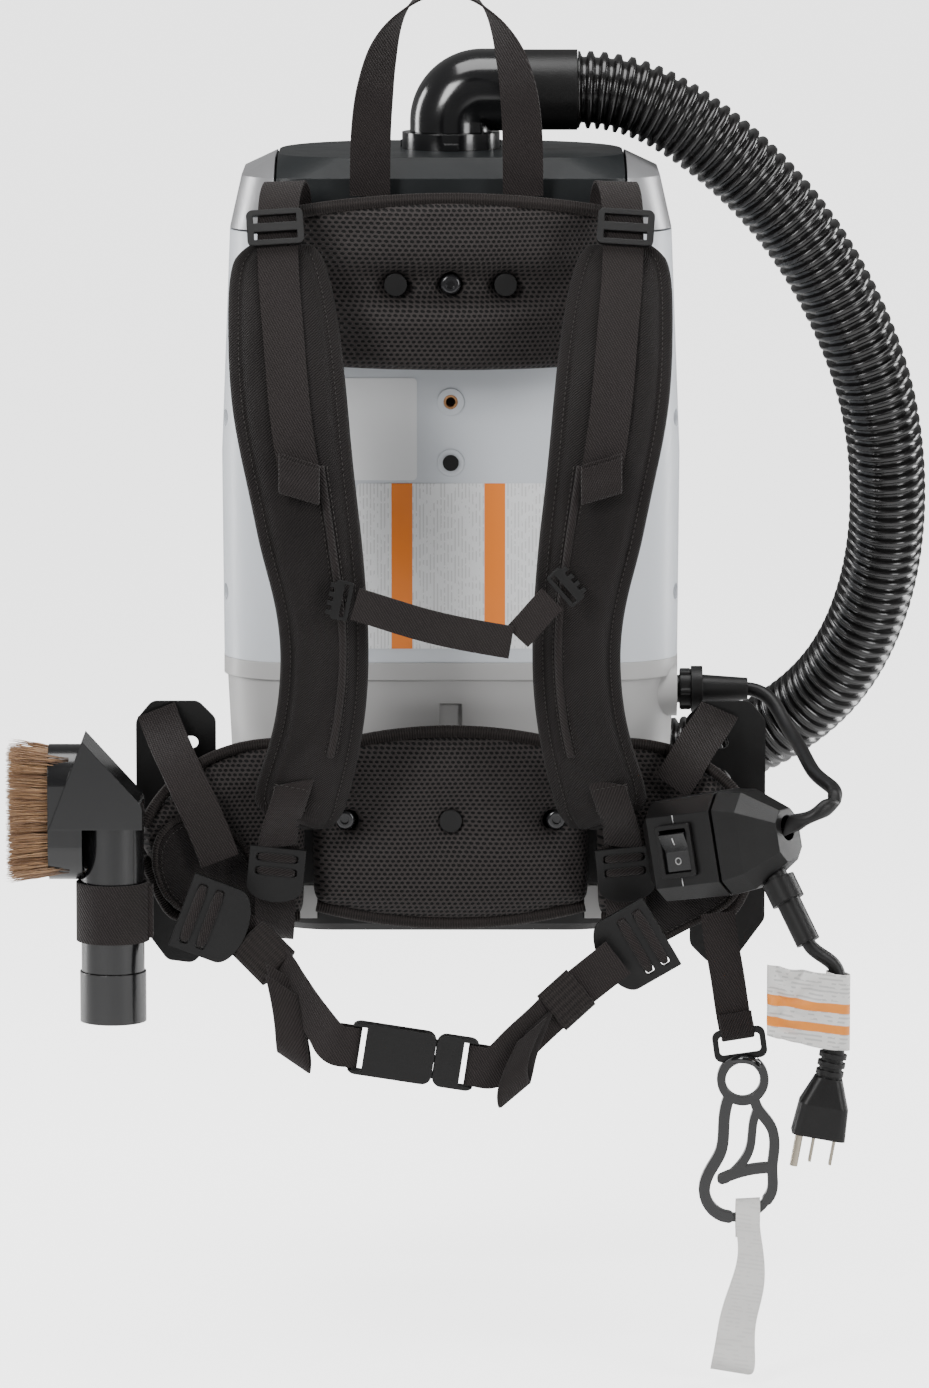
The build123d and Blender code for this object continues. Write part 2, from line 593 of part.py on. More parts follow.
HANDLE_PIVOT_Z = 466.0
handle_points = [(-50, -112, 464), (-49.5, -112, 500), (-46, -112.5, 535), (-37, -113.5, 566),
                 (-21, -114.5, 586), (-4, -115, 593), (14, -114.5, 587), (31, -113.5, 566),
                 (41, -112.5, 535), (44.5, -112, 500), (45, -112, 464)]
handle_across = [(1, 0, 0), (1, 0.08, 0), (0.92, 0.35, 0), (0.7, 0.7, 0), (0.3, 1, 0.2),
                 (0, 1, 0.3), (-0.3, 1, 0.2), (-0.7, 0.7, 0), (-0.92, 0.35, 0),
                 (-1, 0.08, 0), (-1, 0, 0)]
carry_handle = webbing(handle_points, handle_across, WEBBING, 1.4, 30)
save(carry_handle, "carry_handle")

# ---------------------------------------------------------------- shoulder straps
strap_points = [(-106, -155, 438), (-105, -172, 415), (-102, -190, 385), (-98, -210, 345),
                (-92, -222, 305), (-85, -227, 262), (-79, -224, 225), (-77, -214, 190),
                (-80, -198, 150), (-89, -180, 110), (-98, -167, 80)]
strap_across = [(1, 0, 0.03), (1, 0, 0.03), (1, 0, 0.06), (1, 0, 0.1), (1, 0, 0.16), (1, 0, 0.16),
                (1, 0, 0.06), (1, 0, -0.05), (1, 0, -0.2), (1, 0, -0.25), (1, 0, -0.25)]
strap_widths = [44, 62, 68, 70, 66, 62, 56, 54, 54, 56, 50]
strap_thick = [12, 16, 17, 18, 18, 18, 18, 18, 17, 15, 12]
shoulder_left = strap(strap_points, strap_across, strap_widths, strap_thick, corner=6.0)
save(shoulder_left, "shoulder_strap_left")
save(mirror_x(shoulder_left), "shoulder_strap_right")


def strap_front_line(first, last, gap):
    """Points lying in front of the shoulder strap, clear of its face by gap."""
    out = []
    for index, (here, tangent, width_dir) in enumerate(path_frames(strap_points, strap_across)):
        if index < first or index > last:
            continue
        normal = tangent.cross(width_dir)
        if normal.Y > 0:
            normal = normal * -1
        lifted = here + normal * (strap_thick[index] / 2 + gap)
        out.append((lifted.X, lifted.Y, lifted.Z))
    return out


front_line = strap_front_line(0, 4, 1.6)
top_webbing_points = [(-98, -111.9, 436), (-98.5, -111.9, 450), (-99, -112.2, 463), (-101, -118, 471.5),
                      (-103, -131, 473), (-105, -146, 467), (-106, -161, 452)] + front_line[1:]
top_webbing = webbing(top_webbing_points, [(1, 0, 0.03)] * 8 + [(1, 0, 0.1)], WEBBING, WEBBING_THICK, 34)


def triglide(centre, x_dir, normal, bar):
    """Three-bar slide buckle for flat webbing."""
    sheet = RectangleRounded(bar + 10, 24, 4)
    sheet = sheet - Pos(0, 5.6) * Rectangle(bar + 1.5, 5.4) - Pos(0, -5.6) * Rectangle(bar + 1.5, 5.4)
    return extrude(Plane(centre, x_dir=x_dir, z_dir=normal) * sheet, 1.4, both=True)


glide = triglide((-107.5, -167.5, 449), (1, 0, 0.08), (0, -0.86, 0.5), WEBBING)
save(group([glide, mirror_x(glide)]), "triglides")


def ladder_lock(plane, bar, depth):
    """Tilting webbing buckle: two slots, three bars and a half-round lift tab."""
    half = bar / 2 + 5.0
    sheet = Rectangle(depth, 2 * half)
    slot = RectangleRounded(depth * 0.19, bar + 1.0, 1.5)
    sheet = sheet - Pos(-depth * 0.24, 0) * slot - Pos(depth * 0.12, 0) * slot
    tab = Pos(depth * 0.5, 0) * Ellipse(depth * 0.42, half)
    tab = tab & (Pos(depth * 0.5 + 50, 0) * Rectangle(100, 200))
    return extrude(plane * (sheet + tab), 2.4, both=True)


shoulder_lock_plane = Plane((-108, -168, 52), x_dir=(-0.1, 0, -1), z_dir=(0, -1, 0))
shoulder_lock = ladder_lock(shoulder_lock_plane, WEBBING, 24)

adjuster_points = [(-106, -163.5, 66), (-108, -162.5, 50), (-109, -160.5, 30), (-110, -152, 10),
                   (-111, -136, 3), (-112, -121, 9), (-112, -113.2, 26), (-112, -111.6, 44)]
adjuster = webbing(adjuster_points, [(1, 0, -0.1)], WEBBING, WEBBING_THICK, 24)
save(group([top_webbing, mirror_x(top_webbing), adjuster, mirror_x(adjuster)]), "harness_webbing")

# ---------------------------------------------------------------- sternum strap
sternum_long = webbing([(-58, -243, 226), (-38, -245.5, 220), (-14, -247, 213), (14, -248, 207),
                      (37, -248, 203)], [(0.2, 0, 1)], 20, WEBBING_THICK, 12)
sternum_short = strap([(40.5, -246, 206), (48, -245, 214), (57, -243.5, 224), (62, -243, 229)],
                      [(-0.75, 0, 0.66)], 18, WEBBING_THICK)
save(group([sternum_long, sternum_short]), "sternum_strap")


def slider_clip(centre, x_dir):
    """Comb-edged slider that rides on the strap's inner cord."""
    plane = Plane(centre, x_dir=x_dir, z_dir=(0, -1, 0))
    sheet = RectangleRounded(11, 24, 2)
    sheet = sheet - Pos(-1.5, 0) * Rectangle(3, 20.5)
    for row in range(4):
        sheet = sheet + Pos(6.5, -8.4 + 5.6 * row) * Rectangle(4, 2.8)
    return extrude(plane * sheet, 1.8, both=True)


sternum_clips = [slider_clip((-66, -241.5, 228), (-1, 0, 0.2)),
                 slider_clip((70, -241.5, 236), (0.75, 0, 0.66))]
save(group(sternum_clips), "sternum_sliders")

# ---------------------------------------------------------------- lumbar pad and plate
plate_sketch = Plane((0, PLATE_FRONT, 74), x_dir=(1, 0, 0), z_dir=(0, -1, 0)) * (
    RectangleRounded(300, 84, 14)
    - Pos(-LUMBAR_SCREW_X, LUMBAR_SCREW_Z - 74) * Circle(3.4)
    - Pos(LUMBAR_SCREW_X, LUMBAR_SCREW_Z - 74) * Circle(3.4))
lumbar_plate = extrude(plate_sketch, PLATE_BACK - PLATE_FRONT, dir=(0, 1, 0))
save(lumbar_plate, "lumbar_plate")

lumbar_outline = make_face(
    Curve() + [
        ThreePointArc((-88, 118), (0, 132), (88, 118)),
        Line((88, 118), (88, 24)),
        ThreePointArc((88, 24), (0, 12), (-88, 24)),
        Line((-88, 24), (-88, 118)),
    ])
lumbar_plane = Plane((0, -112, 0), x_dir=(1, 0, 0), z_dir=(0, -1, 0))
lumbar_pad = extrude(lumbar_plane * lumbar_outline, 38)
front_edges = [e for e in lumbar_pad.edges() if abs(e.center().Y + 150) < 0.5]
lumbar_pad = fillet(front_edges, 12.0)
for x, radius in ((0, 7.3), (-LUMBAR_SCREW_X, 8.0), (LUMBAR_SCREW_X, 8.0)):
    lumbar_pad = lumbar_pad - rod((x, -170, LUMBAR_SCREW_Z), (x, -100, LUMBAR_SCREW_Z), radius)
save(lumbar_pad, "lumbar_pad")

# ---------------------------------------------------------------- hip wings
wing_points = [(-91, -133, 70), (-110, -134, 70), (-130, -137, 67), (-150, -143, 61),
               (-168, -152, 53), (-182, -162, 45)]
wing_heights = [108, 110, 108, 98, 80, 56]
wing_thick = [22, 23, 22, 20, 18, 15]
wing_left = strap(wing_points, [(0, 0, 1)], wing_heights, wing_thick, corner=7.0)
save(wing_left, "belt_wing_left")
save(mirror_x(wing_left), "belt_wing_right")

bracket_plane = Plane((0, -112.4, 0), x_dir=(1, 0, 0), z_dir=(0, -1, 0))
BRACKET_CORNER = 7.0
wing_outline = make_face(
    Polyline((-197, 136), (-187, 148), (-158, 148), (-147, 137), (-147, 104), (-127, 98),
             (-127, 40), (-150, 34), (-150, -6), (-162, -18), (-178, -16), (-197, 10), close=True))
wing_outline = fillet(wing_outline.vertices(), BRACKET_CORNER)
wing_outline = wing_outline - Pos(-166, 122) * SlotOverall(16, 8)
wing_outline = wing_outline - Pos(-166, 84) * (Rotation(0, 0, 90) * SlotOverall(44, 20))
bracket_left = extrude(bracket_plane * wing_outline, 1.8, both=True)
save(group([bracket_left, mirror_x(bracket_left)]), "wing_brackets")

left_riser_points = [(-184, -117.5, 143), (-180, -126, 134), (-173, -148, 122), (-163, -167, 104),
                     (-152, -171, 80), (-143, -171, 56)]
left_riser = webbing(left_riser_points, [(1, 0.1, 0.45), (1, 0.1, 0.35), (1, 0.3, 0.25)],
                     WEBBING, WEBBING_THICK, 14)
right_riser_points = [(168, -117.5, 143), (163, -126, 136), (154, -143, 126), (145, -157, 113),
                      (137, -159, 101)]
right_riser = webbing(right_riser_points, [(1, -0.1, -0.3), (1, -0.1, -0.5), (0.8, -0.2, -0.55)],
                      WEBBING, WEBBING_THICK, 14)
save(group([left_riser, right_riser]), "wing_webbing")

LOCK_BAR = 38.0
left_lock_plane = Plane((-152, -190, 24), x_dir=(0.93, 0, -0.35), z_dir=(0, -1, 0))
right_lock_plane = Plane((117, -213, 12), x_dir=(-0.86, 0, -0.5), z_dir=(0, -1, 0))
left_lock = ladder_lock(left_lock_plane, LOCK_BAR, 30)
right_lock = ladder_lock(right_lock_plane, LOCK_BAR, 30)
save(group([left_lock, right_lock, shoulder_lock, mirror_x(shoulder_lock)]), "ladder_locks")

# ---------------------------------------------------------------- belt buckle and webbing
BUCKLE_AXIS = Vector(0.988, 0, -0.153).normalized()
BUCKLE_CENTRE = Vector(-23, -238, -54)
buckle_plane = Plane(BUCKLE_CENTRE, x_dir=BUCKLE_AXIS, z_dir=(0, -1, 0))
BAR_LOW = 36.3
BAR_HIGH = 40.0
SLOT_INNER = 30.0


def in_buckle(along, lift, out):
    """Row-frame position of a point given in the buckle's own axes."""
    point = buckle_plane.from_local_coords(Vector(along, lift, out))
    return (point.X, point.Y, point.Z)


female = extrude(buckle_plane * Pos(-13.5, 0) * RectangleRounded(53, 32, 6), 5.6, both=True)
female = female - extrude(buckle_plane * Pos(0.6, 0) * Rectangle(25.0, 24.6), 3.4, both=True)
female = female - extrude(buckle_plane * Pos(-(BAR_LOW + SLOT_INNER) / 2, 0)
                          * Rectangle(BAR_LOW - SLOT_INNER, 27.4), 10, both=True)
female = female - extrude(buckle_plane * Pos(-42, 0, 6.8) * Rectangle(12, 27.4), 4.6, both=True)
female = female - extrude(buckle_plane * Pos(-42, 0, -6.8) * Rectangle(12, 27.4), 4.6, both=True)
for side in (-1, 1):
    window = buckle_plane * Pos(-2.5, 17.0 * side) * SlotOverall(17, 12)
    female = female - extrude(window, 3.3, both=True)
save(female, "buckle_female")

male = extrude(buckle_plane * Pos(26.7, 0) * RectangleRounded(26.6, 32, 6), 5.0, both=True)
male = male - extrude(buckle_plane * Pos((BAR_LOW + SLOT_INNER) / 2, 0)
                      * Rectangle(BAR_LOW - SLOT_INNER, 27.4), 10, both=True)
male = male - extrude(buckle_plane * Pos(42, 0, 6.8) * Rectangle(12, 27.4), 4.6, both=True)
male = male - extrude(buckle_plane * Pos(42, 0, -6.8) * Rectangle(12, 27.4), 4.6, both=True)
for side in (-1, 1):
    arm = buckle_plane * Pos(3.5, 10.0 * side) * Rectangle(22.0, 3.6)
    male = male + extrude(arm, 3.1, both=True)
male = male + extrude(buckle_plane * Pos(4.5, 0) * Rectangle(20, 4.0), 2.6, both=True)
save(male, "buckle_male")

bar_turn = [(-46, 5.4), (-40.5, 4.9), (-36.2, 3.7), (-33.9, 0.8), (-34.4, -2.2), (-37.2, -4.3),
            (-42, -5.0), (-50, -4.4)]
left_run = [(-150, -182, 23), (-136, -182, 18), (-122, -188, 8), (-104, -204, -8),
            (-89, -224, -25), (-78, -239, -38)]
left_run += [in_buckle(along, 0, out) for along, out in bar_turn]
left_across = [(0.35, 0, 0.93)] * 3 + [(0.5, 0, 0.85)] * 2 + [(0.3, 0, 0.95)] + [(0.153, 0, 0.988)]
belt_left = webbing(left_run, left_across, WEBBING, BELT_WEBBING_THICK, 44)
save(belt_left, "belt_webbing_left")

right_run = [(103, -226, 5), (90, -228, -5), (72, -233, -19), (54, -239, -35), (40, -243, -48)]
right_run += [in_buckle(-along, 0, out) for along, out in bar_turn]
right_across = [(-0.5, 0, 0.85)] * 3 + [(-0.35, 0, 0.93)] + [(-0.1, 0, 1)] + [(0.153, 0, 0.988)]
belt_right = webbing(right_run, right_across, WEBBING, BELT_WEBBING_THICK, 44)
save(belt_right, "belt_webbing_right")

# ---------------------------------------------------------------- dusting brush in its loop
NECK_LOW = -9.0
NECK_TOP = 84.0
neck_axis = Pos(BRUSH_X, BRUSH_Y, 0)
hood_plane = Plane((0, BRUSH_Y, 0), x_dir=(1, 0, 0), z_dir=(0, -1, 0))
hood_outline = make_face(Polyline((-189.4, 82), (-189.4, 97), (-226, 137), (-247, 82), close=True))
hood = extrude(hood_plane * hood_outline, 24, both=True)
hood_edges = [e for e in hood.edges() if e.center().X > -200 and abs(e.center().Z - 97) < 1]
hood = fillet(hood_edges, 8.0)
hood_core = make_face(Polyline((-194, 80), (-194, 95), (-226, 131), (-243, 80), close=True))
hood = hood - extrude(hood_plane * hood_core, 21, both=True)
CUP_X = -226.5
CUP_FACE = -247.5
cup_plane = Plane((CUP_X, BRUSH_Y, 90), x_dir=(0, 1, 0), z_dir=(-1, 0, 0))
cup = extrude(cup_plane * SlotOverall(84, 46, rotation=90), CUP_X - CUP_FACE)
cup_core = extrude(cup_plane * SlotOverall(78, 40, rotation=90), CUP_X - CUP_FACE + 5)
neck = tube((BRUSH_X, BRUSH_Y, NECK_LOW), (BRUSH_X, BRUSH_Y, NECK_TOP), BRUSH_NECK, BRUSH_BORE)
brush_head = (neck + hood + cup) - cup_core
brush_head = brush_head - rod((BRUSH_X, BRUSH_Y, NECK_LOW - 5), (BRUSH_X, BRUSH_Y, NECK_TOP + 4), BRUSH_BORE)
save(brush_head, "brush_head")

BRISTLE_LENGTH = 26.0
bristle_plane = Plane((CUP_FACE + 14, BRUSH_Y, 90), x_dir=(0, 1, 0), z_dir=(-1, 0, 0))
tuft = SlotOverall(77.6, 39.6, rotation=90) - SlotOverall(62, 24, rotation=90)
bristles = extrude(bristle_plane * tuft, BRISTLE_LENGTH + 12)
save(bristles, "brush_bristles")

ADAPTER_LOW = -40.6
adapter = tube((BRUSH_X, BRUSH_Y, ADAPTER_LOW), (BRUSH_X, BRUSH_Y, ADAPTER_LOW + 28), 20.5, WAND_BORE)
adapter = adapter + tube((BRUSH_X, BRUSH_Y, ADAPTER_LOW + 28), (BRUSH_X, BRUSH_Y, NECK_LOW - 0.4), 20.5, 14.8)
adapter = adapter + tube((BRUSH_X, BRUSH_Y, NECK_LOW - 1), (BRUSH_X, BRUSH_Y, 18), BRUSH_BORE - 0.15, 14.8)
save(adapter, "tool_adapter")

tool_loop = tube((BRUSH_X, BRUSH_Y, 10), (BRUSH_X, BRUSH_Y, 46.5), 22.6, 20.8)
tool_loop = tool_loop + box((BRUSH_X + 21.6, BRUSH_X + 25), (BRUSH_Y - 6, BRUSH_Y + 6), (12, 44))
save(tool_loop, "tool_loop")

# ---------------------------------------------------------------- switch box
BOX_CENTRE = Vector(165, -196, 71)
box_out = Vector(-0.56, -0.83, 0).normalized()
box_flat = Vector(0.83, -0.56, 0).normalized()
BOX_ROLL = math.radians(11)
box_length_dir = box_flat * math.cos(BOX_ROLL) + Vector(0, 0, 1) * math.sin(BOX_ROLL)
switch_plane = Plane(BOX_CENTRE, x_dir=box_length_dir, z_dir=box_out)
GROOVE = 10.0


def box_section(along, height, depth, chamfer_size):
    """Eight-sided cross-section of the switch box at a station along its length."""
    origin = switch_plane.from_local_coords(Vector(along, 0, 0))
    plane = Plane(origin, x_dir=switch_plane.y_dir, z_dir=switch_plane.x_dir)
    sheet = Rectangle(height, depth)
    return plane * chamfer(sheet.vertices(), chamfer_size)


def box_body(stations, shrink=0.0):
    """Ruled body through box sections given as (along, height, depth, chamfer)."""
    faces = [box_section(a, h - 2 * shrink, d - 2 * shrink, max(c - shrink, 1.0))
             for a, h, d, c in stations]
    return loft(faces, ruled=True)


front_stations = [(-44, 50, 28, 8), (-37, 62, 40, 9), (GROOVE, 64, 42, 10)]
rear_stations = [(GROOVE + 2.2, 64, 42, 10), (28, 60, 40, 11), (52, 32, 26, 7)]
front_core = [(-41, 46, 26, 6), (-36, 56, 34, 7), (GROOVE + 1, 58, 36, 8)]
rear_core = [(GROOVE + 1, 58, 36, 8), (27, 54, 34, 9), (49, 26, 20, 5)]
ROCKER_ALONG = -17.0
SWITCH_FACE = 20.6
switch_front = box_body(front_stations) - box_body(front_core)
seat_plane = Plane(switch_plane.from_local_coords(Vector(ROCKER_ALONG, 0, SWITCH_FACE)),
                   x_dir=switch_plane.x_dir, z_dir=switch_plane.z_dir)
switch_front = switch_front - extrude(seat_plane * Rectangle(22.4, 29.4), 12, both=True)
save(switch_front, "switch_box_front")

switch_rear = box_body(rear_stations) - box_body(rear_core)
cable_entry = Vector(44, 2, 0)
cable_lift = Vector(0.95, 0.3, 0).normalized()
cable_hole = rod(tuple(switch_plane.from_local_coords(cable_entry)),
                 tuple(switch_plane.from_local_coords(cable_entry + cable_lift * 20)), 7.5)
pigtail_exit = Vector(36, -18, 0)
pigtail_dir = Vector(0.34, -0.94, 0).normalized()
pigtail_hole = rod(tuple(switch_plane.from_local_coords(pigtail_exit)),
                   tuple(switch_plane.from_local_coords(pigtail_exit + pigtail_dir * 20)), 7.2)
switch_rear = switch_rear - cable_hole - pigtail_hole
tongue_outer = box_body([(GROOVE - 3, 57.4, 35.4, 7.8), (GROOVE + 2.4, 57.4, 35.4, 7.8)])
tongue_inner = box_body([(GROOVE - 4, 53, 31, 7), (GROOVE + 5, 53, 31, 7)])
collar_outer = box_body([(GROOVE + 2.2, 60, 38, 8.6), (GROOVE + 4.2, 60, 38, 8.6)])
switch_rear = switch_rear + (tongue_outer + collar_outer - tongue_inner)
save(switch_rear, "switch_box_rear")

bezel_low = extrude(seat_plane * Rectangle(22.0, 29.0), -18)
bezel_rim = extrude(seat_plane * Pos(0, 0, 0.6) * RectangleRounded(25.5, 33.0, 2.0), 2.2)
switch_bezel = bezel_low + bezel_rim + extrude(seat_plane * Rectangle(22.0, 29.0), 1.0)
switch_bezel = switch_bezel - extrude(seat_plane * Pos(0, 0, 3.0) * Rectangle(19.2, 27.0), -15.0)
save(switch_bezel, "switch_bezel")

rocker_side = Plane(seat_plane.from_local_coords(Vector(0, 0, -3.0)),
                    x_dir=seat_plane.y_dir, z_dir=seat_plane.x_dir)
rocker_outline = make_face(
    Polyline((-11.6, -4.0), (11.6, -4.0), (12.2, 6.0), (0.0, 3.6), (-12.2, 6.0), close=True))
rocker_shape = (rocker_outline & Circle(13.2)) + Pos(0, -4) * Circle(4.5)
REST_TILT = 10.0
rocker = extrude(rocker_side * (Rotation(0, 0, REST_TILT) * rocker_shape), 9.2, both=True)
save(rocker, "rocker")

# ---------------------------------------------------------------- cables
CABLE = 4.4


def cord_body(line, stations):
    """Round cord along a curved line."""
    faces = []
    for step in range(stations + 1):
        share = step / stations
        station = Plane(line.position_at(share), x_dir=(0.1, 1, 0.1), z_dir=line.tangent_at(share))
        faces.append(station * Circle(CABLE))
    return loft(faces)


inlet_nut = tube((144.2, INLET_Y, INLET_Z), (151.2, INLET_Y, INLET_Z), 12.5, 6.0)
inlet_shank = tube((128.0, INLET_Y, INLET_Z), (145.0, INLET_Y, INLET_Z), INLET_HOLE - 0.2, 6.0)
for step in range(6):
    angle = math.radians(60 * step)
    rib = rod((144.6, INLET_Y + 12.0 * math.cos(angle), INLET_Z + 12.0 * math.sin(angle)),
              (150.8, INLET_Y + 12.0 * math.cos(angle), INLET_Z + 12.0 * math.sin(angle)), 2.0)
    inlet_nut = inlet_nut + rib
save(inlet_nut + inlet_shank, "power_inlet")

bell = rod((151.4, INLET_Y, INLET_Z), (158.5, INLET_Y, INLET_Z), 14.5)
sleeve_faces = [Plane((157.0, INLET_Y, INLET_Z), z_dir=(1, 0, 0)) * Circle(9.2),
                Plane((187.0, INLET_Y, INLET_Z), z_dir=(1, 0, 0)) * Circle(7.0)]
boot = bell + loft(sleeve_faces)
box_entry = switch_plane.from_local_coords(cable_entry)
entry_dir = (switch_plane.from_local_coords(cable_entry + cable_lift) - box_entry).normalized()
cable_points = [Vector(186, INLET_Y, INLET_Z), Vector(199, -77, 146), Vector(209, -92, 133),
                Vector(216, -112, 123), Vector(221, -138, 116), Vector(226, -166, 110),
                Vector(233, -192, 107), Vector(236, -215, 104), Vector(229, -231, 98),
                Vector(216, -230.5, 91.5), box_entry + entry_dir * 8, box_entry + entry_dir * 1]
cable_path = Spline(*cable_points)
machine_cable = boot + cord_body(cable_path, 22)
save(machine_cable, "machine_cable")

exit_point = switch_plane.from_local_coords(pigtail_exit)
exit_world = (switch_plane.from_local_coords(pigtail_exit + pigtail_dir) - exit_point).normalized()
collar_start = exit_point + exit_world * 2.0
relief_end = exit_point + exit_world * 52.0
pigtail_points = [relief_end, Vector(236, -232, 0), Vector(238, -235, -22), Vector(236, -236, -47)]
pigtail = rod(tuple(collar_start), tuple(exit_point + exit_world * 10), 7.0)
pigtail = pigtail + rod(tuple(exit_point + exit_world * 9), tuple(exit_point + exit_world * 24), 10.5)
pigtail = pigtail + rod(tuple(exit_point + exit_world * 23), tuple(relief_end), 7.6)
pigtail_path = Spline(*pigtail_points, tangents=[tuple(exit_world), (-0.15, 0, -1)])
pigtail = pigtail + cord_body(pigtail_path, 12)
save(pigtail, "pigtail_cord")

flag_plane = Plane((237.6, -234.8, -26), x_dir=(0.99, 0, -0.12), z_dir=(0.02, 0.05, 1))
flag = extrude(flag_plane * (Circle(7.5) - Circle(7.0)), 15, both=True)
flag_sheet = Plane((215, -242.0, -22), x_dir=(1, 0, -0.15), z_dir=(0, -1, 0)) * Rectangle(44, 44)
flag = flag + extrude(flag_sheet, 0.35, both=True)
save(flag, "cord_tag")

# ---------------------------------------------------------------- three-pin plug
plug_dir = Vector(-0.18, 0, -1).normalized()
plug_top = Vector(235.6, -236, -49)


def plug_section(along, width, depth, corner):
    """Rounded cross-section of the plug body at a distance below the cord."""
    origin = plug_top + plug_dir * along
    return Plane(origin, x_dir=(1, 0, -0.18), z_dir=plug_dir) * RectangleRounded(width, depth, corner)


grip = loft([plug_section(0.6, 13, 13, 6.2), plug_section(20, 15, 14, 6.5)])
plug_body = grip + loft([plug_section(19, 17, 16, 5), plug_section(36, 30, 24, 5), plug_section(56, 33, 25, 5)],
                        ruled=True)
for step in range(3):
    ring_at = plug_top + plug_dir * (3.5 + 5.5 * step)
    plug_body = plug_body + rod(tuple(ring_at), tuple(ring_at + plug_dir * 3), 8.6)
plug_body = plug_body - rod(tuple(plug_top - plug_dir * 3), tuple(plug_top + plug_dir * 6), CABLE + 0.2)
save(plug_body, "plug_body")

pin_plane = Plane(plug_top + plug_dir * 56.2, x_dir=(1, 0, -0.18), z_dir=plug_dir)
blades = []
for offset_x in (-2.0, 10.7):
    blade = extrude(pin_plane * Pos(offset_x, -3) * Rectangle(1.6, 6.4), 17)
    blades.append(blade)
blades.append(extrude(pin_plane * Pos(-11.5, 3) * Circle(2.4), 20.5))
save(group(blades), "plug_blades")

# ---------------------------------------------------------------- cord hook, strap and tag
HOOK_Y = -205.0
HOOK_RISE = 3.5
hook_plane = Plane((0, HOOK_Y, HOOK_RISE), x_dir=(1, 0, 0), z_dir=(0, -1, 0))
hook_strap_points = [(165, -198, 28), (167, -200, 11), (171, -203, -12), (174, -205, -32),
                     (176, -205, -42.5)]
hook_strap = webbing(hook_strap_points, [(1, 0, 0.16)], 21, WEBBING_THICK, 10)
save(hook_strap, "hook_strap")

RING_TILT = 8.0
RING_WIDE = 33.0
RING_HIGH = 19.5
RING_BAR = 3.7
RING_HALF_THICK = 1.7
RING_CLEARANCE = 0.4


def ring_frame(grow):
    """Rounded rectangular ring, its bar grown by the given amount on every side."""
    inner_wide = RING_WIDE - 2 * (RING_BAR + grow)
    inner_high = RING_HIGH - 2 * (RING_BAR + grow)
    sheet = RectangleRounded(RING_WIDE + 2 * grow, RING_HIGH + 2 * grow, 5.0)
    sheet = sheet - RectangleRounded(inner_wide, inner_high, 2.4)
    sheet = Pos(178.5, -56.4) * Rotation(0, 0, RING_TILT) * sheet
    return extrude(hook_plane * sheet, RING_HALF_THICK + grow, both=True)


def flowing(points, steps=4):
    """Points spread along a smooth curve through the given ones."""
    line = Spline(*[Vector(x, z, 0) for x, z in points])
    count = steps * (len(points) - 1)
    return [(line.position_at(k / count).X, line.position_at(k / count).Y) for k in range(count + 1)]


save(ring_frame(0), "hook_ring")

HOOK_THICK = 6.8
EYE_X = 180.5
EYE_Z = -78.5
EYE_OUTER = 16.0
EYE_INNER = 10.6
eye_sheet = hook_plane * Pos(EYE_X, EYE_Z) * (Circle(EYE_OUTER) - Circle(EYE_INNER))
eye_ring = extrude(eye_sheet, HOOK_THICK / 2, both=True)
eye_gap = box((EYE_X - 3, EYE_X + 9), (HOOK_Y - 10, HOOK_Y + 10), (EYE_Z + 8, EYE_Z + 22))
hook = eye_ring - Pos(0, 0, HOOK_RISE) * eye_gap - ring_frame(RING_CLEARANCE)
left_run = [(172, -90), (169, -105), (167, -124), (160, -137), (157, -149), (162, -160), (172, -165)]
right_run = [(188, -92), (190, -97), (198, -108), (200, -124), (199, -134), (199, -148), (196, -154)]
finger = [(190, -97), (187, -106), (185, -122), (178, -134), (170, -141)]
crossbar = [(168, -141), (184, -135.5), (199, -134)]
foot = [(172, -165), (184, -164), (196, -154)]
for points, width in ((left_run, 7.0), (right_run, 6.4), (finger, 5.2), (crossbar, 6.2)):
    hook = hook + stroke(flowing(points), width, hook_plane, HOOK_THICK)
hook = hook + stroke(flowing(foot), 5.0, hook_plane, 5.0)
save(hook, "cord_hook")

tag_side = [(0.6, -178), (5.2, -170), (5.4, -160), (0, -153.5), (-5.4, -160), (-5.4, -170),
            (-1.6, -178), (-1.2, -192), (-2.5, -215), (-2.0, -240), (-1.0, -263)]
tag_x = [184, 184, 184, 184, 184, 184, 185, 186, 182, 177, 173]
tag_points = [(x, HOOK_Y + out, z + HOOK_RISE) for x, (out, z) in zip(tag_x, tag_side)]
paper_tag = strap(tag_points, [(1, 0, 0.05)] * 7 + [(1, 0, 0.2)], [15] * 7 + [17, 22, 24, 24], 0.5)
save(paper_tag, "paper_tag")
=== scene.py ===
import json
import math
import random

import bpy
import numpy as np
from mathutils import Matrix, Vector, noise


